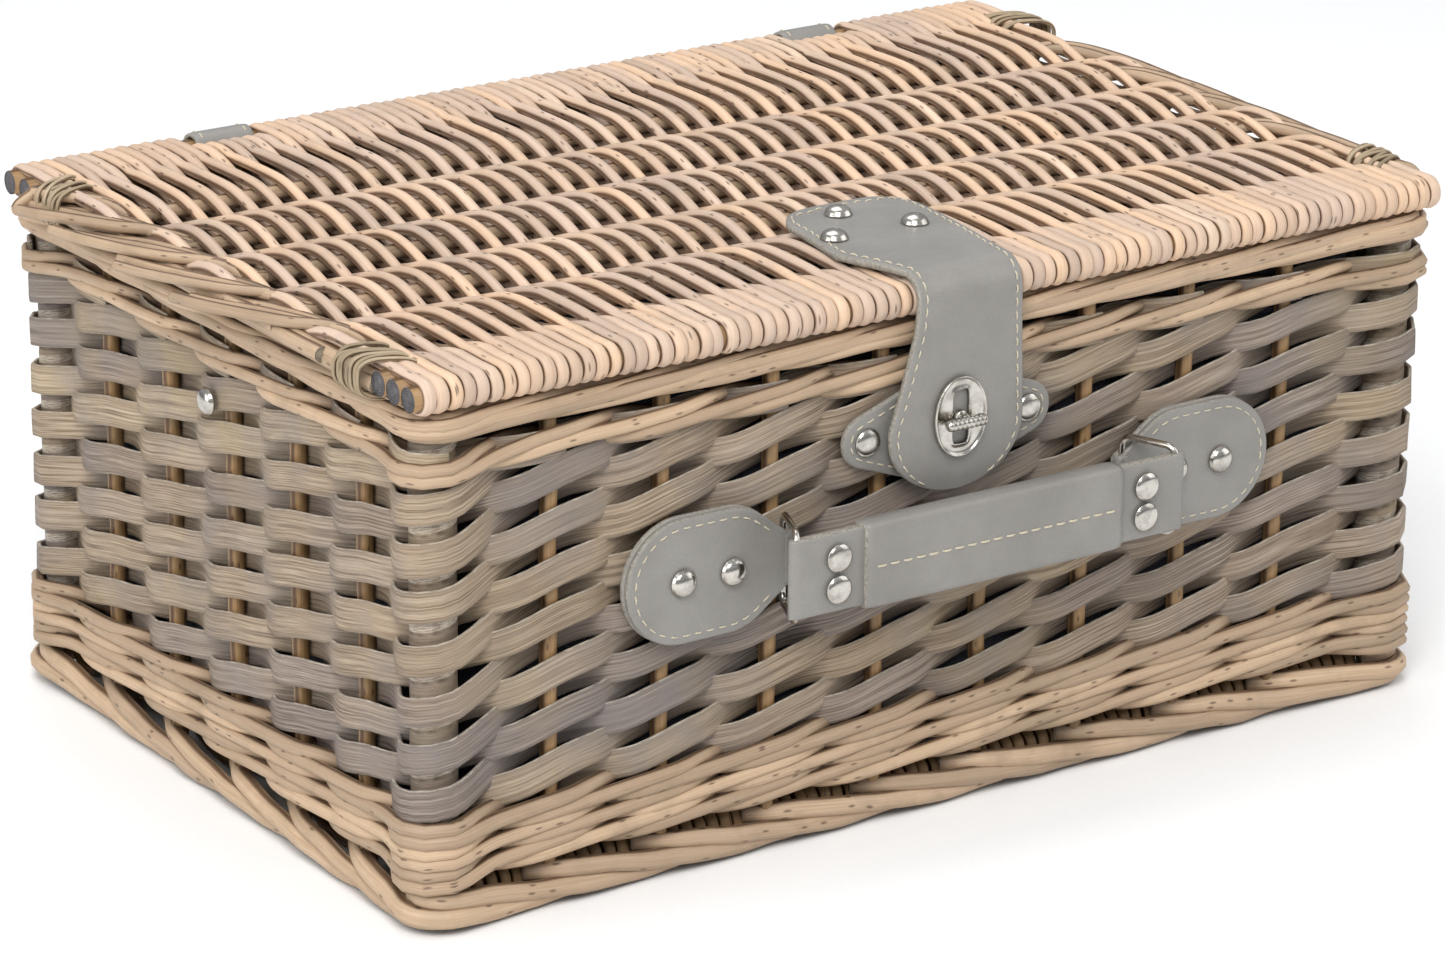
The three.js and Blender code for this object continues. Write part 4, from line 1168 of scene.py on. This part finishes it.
def inset(outline, distance):
    """The outline moved inwards along its own normals."""
    tangent = unit(np.roll(outline, -1, axis=0) - np.roll(outline, 1, axis=0))
    return outline + np.stack([-tangent[:, 1], tangent[:, 0]], -1) * distance


def plate(name, outline, face_y, back_y, body, node, materials=None, soft=0.5,
          crown=0.0):
    """A flat piece facing -Y: rings of the outline, from the back round the edge to the face."""
    materials = materials or [grey_leather, leather_edge]
    middle = outline.mean(0)
    depth = back_y - face_y
    rings = [(1.0, soft * 2, back_y), (1.0, soft, back_y), (1.0, 0.1, back_y - soft * 0.6),
             (1.0, 0, back_y - depth / 2),
             (1.0, 0.1, face_y + soft * 0.6), (1.0, soft, face_y + 0.05), (1.0, soft * 2, face_y),
             (1.0, soft * 2 + 1.2, face_y - crown * 0.5)]
    grids = [np.insert(inset(outline, d) if d else outline, 1, y, axis=1) for _, d, y in rings]
    inner = inset(outline, soft * 2 + 1.2)
    for k in (0.75, 0.45, 0.2):
        grids.append(np.insert(middle + (inner - middle) * k, 1, face_y - crown, axis=1))
    back = [np.insert(middle + (inner - middle) * k, 1, back_y, axis=1) for k in (0.2, 0.6)]
    grid = np.array(back + grids)
    rows, columns = grid.shape[:2]
    numbers, cells = grid_faces(rows, columns, False, True)
    ring = np.arange(columns)
    count, last = rows * columns, (rows - 1) * columns
    ends = np.array([[middle[0], back_y, middle[1]], [middle[0], face_y - crown, middle[1]]])
    first = np.stack([np.full(columns, count), np.roll(ring, -1), ring], -1)
    final = np.stack([np.full(columns, count + 1), last + ring, last + np.roll(ring, -1)], -1)
    index = np.isin(cells[:, 0, 0], (4, 5)).astype(float)
    points = np.concatenate([grid.reshape(-1, 3), ends])
    made = new_mesh(name, points, [numbers, np.concatenate([first, final])],
                    [cells / 50.0, np.full((2 * columns, 3, 2), 0.5)],
                    np.concatenate([index, np.zeros(2 * columns)]),
                    {"tint": np.zeros(len(points)), "depth": np.zeros(len(points))})
    for material in materials:
        made.data.materials.append(material)
    return dressed(made, body, node)


def stitches(name, lines, outward, body, length=3.2, gap=1.5, thread=0.3):
    """Thread along each line: equal stitches, each a short rod whose ends dip below the face."""
    rows = []
    for line in lines:
        line = np.asarray(line, float)
        reach = np.concatenate([[0], np.cumsum(np.linalg.norm(np.diff(line, axis=0), axis=1))])
        number = max(1, int(reach[-1] // (length + gap)))
        pitch = reach[-1] / number
        first = np.arange(number) * pitch + (pitch - length) / 2
        at = first[:, None] + np.linspace(0, length, 5)[None]
        points = np.stack([np.interp(at, reach, line[:, k]) for k in range(3)], -1)
        lift = np.array([-0.35, 0.12, 0.2, 0.12, -0.35])
        way = outward(points) if callable(outward) else np.asarray(outward, float)
        rows.append(points + lift[None, :, None] * way)
    lines = np.concatenate(rows)
    made = rods(name, lines, thread, thread, (0.3, 0.4, 0.86), [cream_thread], corners=6)
    if body:
        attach(made, body)
    return made


# %% [markdown]
# ### The flap
# One strap of leather is riveted to the lid, narrows to a neck, folds over the front edge and hangs
# down to a round end that carries the lock's plate. The fold is a fixed quarter round about the
# front edge rod, so the piece bends smoothly between the lid and the hanging part.

# %% Cut and fold the flap
head_back = span("flap_head", 1)[1]
head_z = span("flap_head", 2)[1] - 1.5
strap_bottom = span("flap_strap", 2)[0] - 3.2
strap_y = sum(span("flap_strap", 1)) / 2
fold_y = front_ys[0]
fold_radius = fold_y - strap_y
flat_run = head_back - fold_y
bend_run = fold_radius * np.pi / 2
drop = ROD_Z - strap_bottom
total_run = flat_run + bend_run + drop


def flap_point(run):
    """Places in Y and Z at a run along the flap: along the lid, round a quarter circle, then down."""
    angle = np.clip((run - flat_run) / fold_radius, 0, np.pi / 2)
    y = head_back - np.minimum(run, flat_run) - fold_radius * np.sin(angle)
    z = head_z - (head_z - ROD_Z) * (1 - np.cos(angle)) - np.maximum(run - flat_run - bend_run, 0)
    return y, z


def flap_edges(run):
    """Left and right edges of the flap at a run, in x: head, neck and round end, all softened."""
    down = run - flat_run - bend_run
    knots = [0, 22, 48, 66, flat_run, flat_run + bend_run, flat_run + bend_run + 10,
             flat_run + bend_run + 28,
             flat_run + bend_run + 44, total_run]
    left = np.interp(run, knots, [-24.5, -26, -30, -23, -20.5, -20.5, -21.5, -26.5, -31.6, -31.9])
    right = np.interp(run, knots, [28.5, 28.5, 26, 23.5, 22.5, 22.3, 22.4, 23.2, 23.8, 23.8])
    middle, half = (left + right) / 2, (right - left) / 2
    corner = 15.0
    near = np.clip(1 - run / corner, 0, 1)
    half = half - corner * (1 - np.sqrt(1 - near**2))
    rise = 23.0
    far = np.clip(1 - (total_run - run) / rise, 0, 1)
    return middle, half * np.sqrt(np.clip(1 - far**2.2, 0, 1)) ** 1.0, down


runs = np.concatenate([
    np.linspace(0, 1, 10) ** 2 * 14,
    np.linspace(15, flat_run, 30),
    np.linspace(flat_run, flat_run + bend_run, 16)[1:],
    np.linspace(flat_run + bend_run, total_run - 22, 24)[1:],
    total_run - 22 * np.linspace(1, 0, 26)[1:] ** 2,
])
runs[-1] = total_run - 0.02
fine = np.linspace(0, total_run, 600)
fine_middle, fine_half, _ = flap_edges(fine)
for _ in range(40):
    fine_middle[1:-1] = (fine_middle[:-2] + 2 * fine_middle[1:-1] + fine_middle[2:]) / 4
flap_mid = np.interp(runs, fine, fine_middle)
flap_half = np.maximum(np.interp(runs, fine, fine_half), 0.4)
flap_y, flap_z = flap_point(runs)
flap_path = np.stack([np.zeros(len(runs)), flap_y, flap_z], -1)
# Its sections are kept square to the fold, then slid sideways to the flap's middle line.
FLAP_COLUMNS = 28
flap_leather = rods("flap_leather", np.array([flap_path]), np.array([flap_half]), 1.45, (1, 0, 0),
                    [grey_leather, leather_edge], corners=FLAP_COLUMNS, square=0.16, cut=1)
place = np.zeros(len(flap_leather.data.vertices) * 3)
flap_leather.data.vertices.foreach_get("co", place)
place[0::3] += np.append(np.repeat(flap_mid, FLAP_COLUMNS), flap_mid[[0, -1]]) * MM
flap_leather.data.vertices.foreach_set("co", place)
cut_sides(flap_leather, FLAP_COLUMNS)
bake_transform(flap_leather)
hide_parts("flap_head", "flap_strap")


def flap_surface(run, across):
    """The outer face of the flap: out from its middle by 1.5 mm along the fold's normal."""
    y, z = flap_point(run)
    angle = np.clip((run - flat_run) / fold_radius, 0, np.pi / 2)
    return np.stack([across, y - 1.5 * np.sin(angle), z + 1.5 * np.cos(angle)], -1)


def flap_outward(points):
    """Up over the lid, forwards below the fold."""
    angle = np.clip((head_z - points[..., 2]) / fold_radius, 0, 1) * np.pi / 2
    return np.stack([0 * angle, -np.sin(angle), np.cos(angle)], -1)


STITCH_INSET = 2.6
sides = []
stitch_runs = np.linspace(4.5, total_run - 3.4, 300)
middle_at = np.interp(stitch_runs, fine, fine_middle)
half_at = np.interp(stitch_runs, fine, fine_half) - STITCH_INSET
half_at = np.minimum(half_at, np.interp(stitch_runs, [4.5, 5.5], [10, 60]))
for sign in (-1, 1):
    sides.append(flap_surface(stitch_runs, middle_at + sign * half_at))
back_seam = np.linspace(-11, 11, 20) + flap_mid[0]
flap_stitches = stitches("flap_stitches", [sides[0], sides[1],
                                           flap_surface(np.full(20, 3.4), back_seam)],
                         flap_outward, None)
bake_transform(flap_stitches)
print("flap runs", round(total_run, 1), "mm")

# %% [markdown]
# ### Domed rivets
# A rivet's head is a shallow dome with a thin rolled edge. Its profile, radius by height, is turned
# about the rivet's axis, and the shank disappears into the leather.

# %% Rivets
def turned(name, centre, direction, profile, body, node, materials, slot, columns=28, stretch=(1, 1)):
    """A turned profile: centre + radius*(cos, sin) + direction*height."""
    direction = unit(np.array(direction, float))
    helper = np.array([0, 0, 1.0]) if abs(direction[2]) < 0.9 else np.array([1.0, 0, 0])
    across = unit(np.cross(helper, direction))
    upward = np.cross(direction, across)
    profile = np.array(profile, float)
    a = np.arange(columns) / columns * 2 * np.pi
    radial = across * np.cos(a)[:, None] * stretch[0] + upward * np.sin(a)[:, None] * stretch[1]
    grid = np.array(centre) + profile[:, :1, None] * radial[None] + profile[:, 1:, None] * direction
    rows = len(profile)
    numbers, cells = grid_faces(rows, columns, False, True)
    ring, count = np.arange(columns), rows * columns
    ends = np.array(centre) + profile[[0, -1], 1:] * direction
    last = (rows - 1) * columns
    first = np.stack([np.full(columns, count), np.roll(ring, -1), ring], -1)
    final = np.stack([np.full(columns, count + 1), last + ring, last + np.roll(ring, -1)], -1)
    points = np.concatenate([grid.reshape(-1, 3), ends])
    made = new_mesh(name, points, [numbers, np.concatenate([first, final])],
                    [cells / 30.0, np.full((2 * columns, 3, 2), 0.5)],
                    np.zeros(len(numbers) + 2 * columns),
                    {"tint": np.zeros(len(points)), "depth": np.zeros(len(points))})
    for material in materials:
        made.data.materials.append(material)
    return dressed(made, body, node)


def dome_profile(radius, dome):
    """From the shank out under a rolled edge, over it, and up a quarter of an ellipse."""
    edge = [(0.6, -0.7), (1.2, -0.7), (1.4, 0.02), (radius - 0.35, 0.02), (radius - 0.05, 0.2),
            (radius, 0.5),
            (radius - 0.15, 0.78)]
    a = np.radians(np.linspace(8, 86, 9))
    dome_part = np.stack([(radius - 0.3) * np.cos(a), 0.7 + (dome - 0.7) * np.sin(a)], -1)
    return edge + [tuple(p) for p in dome_part] + [(0.15, dome)]


def domed(node, body):
    """The rivet whose CAD node this is: the dome faces the way its thin side faces."""
    low, high = (np.array([span(node, axis)[k] for axis in range(3)]) for k in (0, 1))
    size, middle = high - low, (low + high) / 2
    radius = np.sort(size)[-1] / 2 + 0.2
    if "flap" in node:
        direction, base = np.array([0, 0, 1.0]), np.array([middle[0], middle[1], head_z + 1.5])
        top = high[2]
    elif "stay" in node:
        direction, base = np.array([-1.0, 0, 0]), np.array([high[0], middle[1], middle[2]])
        base[0] = low[0] + 3.2
        top = -low[0]
    else:
        direction, base = np.array([0, -1.0, 0]), np.array([middle[0], 0, middle[2]])
        depth = 2.0 if node.startswith("handle_rivet") else 2.2 if "backing" in node else 3.2
        base[1] = low[1] + depth
        top = -low[1]
    dome = top - base @ direction
    return turned(f"{node}_dome", base, direction, dome_profile(radius, dome), body, node,
                  [bright_nickel], "nickel")


rivet_bodies = {"flap_rivet_back": "lid", "flap_rivet_left": "lid", "flap_rivet_right": "lid",
                "stay_rivet": "basket"}
for side in ("left", "right"):
    rivet_bodies[f"lock_backing_rivet_{side}"] = "basket"
    for place in ("inner", "outer"):
        rivet_bodies[f"handle_tab_rivet_{side}_{place}"] = "basket"
    for place in ("upper", "lower"):
        rivet_bodies[f"handle_rivet_{side}_{place}"] = "handle"
for node, body in rivet_bodies.items():
    domed(node, body)

# %% [markdown]
# ### The turn lock
# An oval plate with a rolled rim and a square slot sits on the flap. A post comes through the slot,
# and its ribbed bar is turned a quarter turn to hold the flap. The plate is one closed ring: its
# section runs from the slot along the back, round the rim, and back over the dished face.

# %% Lock plate, post and bar
plate_x, plate_y, plate_z = (span("lock_plate", axis) for axis in range(3))
lock_x, lock_z = sum(plate_x) / 2, sum(plate_z) / 2
plate_up = 1.2
a = np.arange(72) / 72 * 2 * np.pi
outer = np.stack([np.cos(a) * (plate_x[1] - plate_x[0]) / 2,
                  np.sin(a) * (plate_z[1] - plate_z[0]) / 2], -1)
slot_half = np.array([3.4, 9.75])
inner = np.stack([np.sign(np.cos(a)) * np.abs(np.cos(a)) ** 0.3 * slot_half[0],
                  np.sign(np.sin(a)) * np.abs(np.sin(a)) ** 0.3 * slot_half[1]], -1)
section = [(0.0, 0.1), (0.5, 0.05), (0.94, 0.05), (0.99, 0.5), (1.0, 1.1), (0.985, 1.7),
           (0.94, 1.98), (0.88, 1.85),
           (0.82, 1.45), (0.7, 1.15), (0.45, 1.05), (0.2, 1.15), (0.08, 1.5), (0.02, 1.5), (0.0, 1.2)]
grid = []
for fraction, height in section:
    ring_xz = inner + (outer - inner) * fraction
    grid.append(np.stack([lock_x + ring_xz[:, 0], np.full(72, plate_y[1] - height),
                          lock_z + plate_up + ring_xz[:, 1]], -1))
grid = np.array(grid)
numbers, cells = grid_faces(len(section), 72, True, True)
points = grid.reshape(-1, 3)
oval = new_mesh("lock_plate_oval", points, [numbers], [cells / 40.0], np.zeros(len(numbers)),
                {"tint": np.zeros(len(points)), "depth": np.zeros(len(points))})
oval.data.materials.append(bright_nickel)
dressed(oval, "flap", "lock_plate")

base_y = span("lock_base", 1)
collar = 2.7
turned("lock_post", (lock_x, base_y[1], lock_z), (0, -1, 0),
       [(8.2, 0.05), (9.0, 0.3), (9.0, 0.9), (8.4, 1.2), (collar + 0.3, 1.25), (collar, 1.6),
        (collar, base_y[1] - base_y[0] - 0.3), (collar - 0.3, base_y[1] - base_y[0])],
       "basket", "lock_base", [bright_nickel], "nickel", columns=40, stretch=(1, 1.3))
knob_x, knob_y, knob_z = (span("turn_knob", axis) for axis in range(3))
bar_half, bar_radius = (knob_x[1] - knob_x[0]) / 2, 2.25
bar_y, bar_z = knob_y[0] + bar_radius, sum(knob_z) / 2
steps = 121
x = np.linspace(-bar_half, bar_half, steps)
ribs = 0.12 * np.cos(x / bar_half * np.pi * 9) * (np.abs(x) < bar_half - 1.4)
ends = np.sqrt(np.clip(1 - np.clip((np.abs(x) - bar_half + 1.6) / 1.7, 0, 1) ** 2, 0, 1))
bar_line = np.stack([lock_x + x, np.full(steps, bar_y), np.full(steps, bar_z)], -1)
bar = rods("turn_bar", np.array([bar_line]), np.array([(bar_radius - 0.12 + ribs) * np.maximum(ends,
                                                                                               0.12)]),
           np.array([(bar_radius - 0.12 + ribs) * np.maximum(ends, 0.12)]), UP, [bright_nickel],
           corners=20)
dressed(bar, "knob", "turn_knob")
turned("turn_bar_hub", (lock_x, knob_y[1], bar_z), (0, -1, 0),
       [(collar - 0.3, 0.0), (collar, 0.2), (collar, 1.2), (collar - 0.6, 2.6), (1.4, 3.2)],
       "knob", None, [bright_nickel], "nickel", columns=24)

# %% [markdown]
# ### The leather behind the lock, the handle's tabs and the hinges
# Leather leaves spread the pull of a rivet over the weave. Each is a flat plate cut to an outline:
# circles joined by straight lines, as a strap maker marks them out.

# %% Backing, tabs and hinge loops
backing_low, backing_high = (np.array([span("lock_backing",
                                            axis)[k] for axis in range(3)]) for k in (0, 1))
backing_mid = (backing_low + backing_high) / 2
leaf = hull_outline([(backing_mid[0] + s * 34, backing_mid[2], 9.5) for s in (-1, 1)]
                    + [(backing_mid[0] + s * 12, backing_mid[2], 17) for s in (-1, 1)])
plate("lock_leaf", leaf, backing_low[1], backing_high[1], "basket", "lock_backing")
seam = np.insert(inset(leaf, 3.0), 1, backing_low[1], axis=1)
stitches("lock_leaf_stitches", [np.concatenate([seam, seam[:1]])], (0, -1, 0), "basket")

for side, sign in (("left", -1), ("right", 1)):
    node = f"handle_tab_{side}"
    tab_low, tab_high = (np.array([span(node, axis)[k] for axis in range(3)]) for k in (0, 1))
    near, far = (tab_high[0], tab_low[0]) if sign < 0 else (tab_low[0], tab_high[0])
    half = (tab_high[2] - tab_low[2]) / 2
    middle_z = (tab_high[2] + tab_low[2]) / 2
    outline = hull_outline([(far - sign * half, middle_z, half),
                            (far - sign * (half + 18), middle_z, half),
                            (near + sign * 2, middle_z - 7, 2), (near + sign * 2, middle_z + 7, 2)])
    middle_y = (tab_low[1] + tab_high[1]) / 2
    plate(f"tab_{side}_lower_leaf", outline, middle_y + 0.06, tab_high[1], "basket", node)
    plate(f"tab_{side}_upper_leaf", inset(outline, 0.25), tab_low[1], middle_y - 0.06, "basket", None)
    seam = np.insert(inset(outline, 3.2), 1, tab_low[1], axis=1)
    seam = seam[(seam[:, 0] - near) * sign > 9]
    gap_at = np.argmax(np.linalg.norm(seam - np.roll(seam, 1, axis=0), axis=1))
    stitches(f"tab_{side}_stitches", [np.roll(seam, -gap_at, axis=0)], (0, -1, 0), "basket")
    tube = np.array([[near + sign * 2.75, middle_y, z] for z in np.linspace(middle_z - 9,
                                                                            middle_z + 9, 12)])
    made = rods(f"tab_{side}_fold", tube[None], 2.9, 2.75, (1, 0, 0), [grey_leather, leather_edge],
                corners=16, cut=1)
    dressed(made, "basket", None)

hinge_y, hinge_z = back_ys[0], ROD_Z
for side in ("left", "right"):
    node = f"hinge_loop_{side}"
    (x0, x1), (y0, y1), (z0, z1) = (span(node, axis) for axis in range(3))
    round_rod = [(hinge_y + 5.8 * np.cos(t), hinge_z + 5.8 * np.sin(t))
                 for t in np.radians(np.linspace(-28, 208, 15))]
    down = [(y0 + 1.0, 181), (y0 + 1.0, 175.5), (y0 + 2.2, z0 + 1.2), (y0 + 5, z0 + 1.0),
            (y1 - 4, z0 + 1.0),
            (y1 - 1.6, z0 + 1.6), (y1 - 1.0, 175.5), (y1 - 1.0, 181)]
    loop_line = through(round_rod + down + round_rod[:1], 90)[:-1]
    loop_line = np.insert(loop_line, 0, (x0 + x1) / 2, axis=1)
    made = rods(f"hinge_strap_{side}", loop_line[None], (x1 - x0) / 2 - 0.1, 0.95, (1, 0, 0),
                [grey_leather, leather_edge], corners=20, square=0.3, closed=True)
    cut_sides(made)
    dressed(made, "basket", node)
    for offset in (-(x1 - x0) / 2 + 3, (x1 - x0) / 2 - 3):
        over = [((x0 + x1) / 2 + offset, hinge_y + 6.75 * np.cos(t), hinge_z + 6.75 * np.sin(t))
                for t in np.radians(np.linspace(0, 180, 15))]
        name = f"hinge_{side}_stitches_{'left' if offset < 0 else 'right'}"
        stitches(name, [over], lambda p: unit(p - np.array([0, hinge_y, hinge_z]) * [1, 1, 1] - p * [1, 0, 0]), "basket")

# %% [markdown]
# ### The handle
# A stitched strap hangs from two wire rings. A second, wider leather sleeve is wrapped round its
# middle for the hand, with a seam along the front, and a pair of rivets closes each end loop.

# %% Rings, strap, sleeve
WIRE = 1.25
strap_x, strap_ys, strap_z = (span("handle_strap", axis) for axis in range(3))
handle_y, handle_z = sum(strap_ys) / 2, sum(strap_z) / 2
for side, sign in (("left", -1), ("right", 1)):
    node = f"handle_ring_{side}"
    (x0, x1), (y0, y1), (z0, z1) = (span(node, axis) for axis in range(3))
    tab_end, strap_end = (x1, x0) if sign < 0 else (x0, x1)
    bend = 4.2
    inner_x, outer_x = (x0 + 1.3, x1 - 1.3)
    tab_x = outer_x if sign < 0 else inner_x
    grip_x = inner_x if sign < 0 else outer_x
    a_point = np.array([tab_x, y1 - 1.3])
    b_point = np.array([grip_x, y0 + 1.3])
    low_z, high_z = z0 + 1.3, z1 - 1.3
    width = np.linalg.norm(b_point - a_point)
    flat_line = rounded_line(width / 2, (high_z - low_z) / 2, bend, steps=9)[:-1]
    share = flat_line[:, :1] / width + 0.5
    xy = a_point + (b_point - a_point) * share
    wire_line = np.concatenate([xy, (flat_line[:, 1:] + (low_z + high_z) / 2)], -1)
    made = rods(f"ring_{side}_wire", wire_line[None], WIRE, WIRE, (0.3, 0.8, 0.1), [bright_nickel],
                corners=14,
                closed=True)
    dressed(made, f"ring_{side}", node)

half = (strap_x[1] - strap_x[0]) / 2
steps = 90
x = np.linspace(-half, half, steps)
end_round = np.sqrt(np.clip(1 - np.clip((np.abs(x) - half + 2.4) / 2.45, 0, 1) ** 2, 0.02, 1))
path = np.stack([x, np.full(steps, handle_y), np.full(steps, handle_z)], -1)
swell = np.interp(np.abs(x), [half - 12, half - 5, half], [0, 0.25, 0.1])
strap_piece = rods("handle_leather", path[None], np.full((1, steps), (strap_z[1] - strap_z[0]) / 2),
                   (2.35 + swell)[None] * end_round, UP, [grey_leather, leather_edge], corners=24,
                   square=0.2, cut=0)
cut_sides(strap_piece, 24)
dressed(strap_piece, "handle", "handle_strap")
grip_x, grip_y, grip_z = (span("handle_grip", axis) for axis in range(3))
steps = 60
x = np.linspace(grip_x[0], grip_x[1], steps)
path = np.stack([x, np.full(steps, handle_y), np.full(steps, handle_z)], -1)
dip = np.interp(np.abs(x), [0, grip_x[1] - 3, grip_x[1]], [0.0, 0.0, 0.35])
sleeve = rods("grip_sleeve", path[None], np.full((1, steps), (grip_z[1] - grip_z[0]) / 2) - dip,
              np.full((1, steps), (grip_y[1] - grip_y[0]) / 2) - dip, UP,
              [grey_leather, leather_edge], corners=28,
              square=0.34, cut=1)
dressed(sleeve, "handle", "handle_grip")
stitches("grip_stitches", [[(k, grip_y[0] - 0.05, handle_z) for k in np.linspace(grip_x[0] + 3,
                                                                                 grip_x[1] - 3, 30)]],
         (0, -1, 0), "handle", length=3.6, gap=1.7, thread=0.4)

# %% [markdown]
# ## Floor and light
# A large pale sheet of card stands in for a table. One big soft lamp above and to the front left
# does most of the work; three weaker ones fill the sides and the top. The world is pale above and
# grey at the horizon, so that the bright nickel has something darker to mirror.

# %% Floor and lamps
def pale_card():
    """Matt card: almost white, with the faintest tooth."""
    material, tree, shader = start("pale_card", "floor")
    tooth = noise(tree, add(tree, "TexCoord").outputs["Object"], 300.0, 3.0)
    shade = mixed(tree, tooth, colour(238, 238, 238), colour(243, 243, 242))
    tree.links.new(shade, shader.inputs["Base Color"])
    shader.inputs["Roughness"].default_value = 0.85
    bumped(tree, shader, tooth, 0.0001, 0.3)
    return material


mesh = bpy.data.meshes.new("floor")
mesh.from_pydata([(-8, -8, 0), (8, -8, 0), (8, 8, 0), (-8, 8, 0)], [], [(0, 1, 2, 3)])
floor = bpy.data.objects.new("floor", mesh)
bpy.context.collection.objects.link(floor)
floor.data.materials.append(pale_card())


def lamp(name, place, size, power, aim=(0, 0, 0.08)):
    """A square soft lamp that points at the basket."""
    data = bpy.data.lights.new(name, "AREA")
    data.energy, data.size = power, size
    thing = bpy.data.objects.new(name, data)
    bpy.context.collection.objects.link(thing)
    way = Vector(aim) - Vector(place)
    thing.matrix_world = Matrix.Translation(place) @ way.to_track_quat("-Z", "Y").to_matrix().to_4x4()


lamp("key", (-1.2, -1.5, 2.0), 1.3, 50)
lamp("fill", (1.8, -1.2, 1.2), 1.8, 14)
lamp("side", (-2.3, -0.2, 0.9), 1.5, 21)
lamp("top", (0.1, 0.7, 2.2), 1.6, 18)
world = bpy.data.worlds.new("studio")
world.use_nodes = True
sky = world.node_tree
height = add(sky, "SeparateXYZ", {0: add(sky, "TexCoord").outputs["Generated"]}).outputs[2]
grey = ramp(sky, between(sky, height, -1.0, 1.0), [(0.0, colour(90, 90, 92)),
                                                   (0.48, colour(120, 121, 124)),
                                                  (0.62, colour(215, 217, 220)),
                                                  (1.0, colour(250, 251, 255))])
sky.links.new(grey, sky.nodes["Background"].inputs["Color"])
sky.nodes["Background"].inputs["Strength"].default_value = 0.6
bpy.context.scene.world = world
bpy.context.scene.view_settings.view_transform = "Standard"
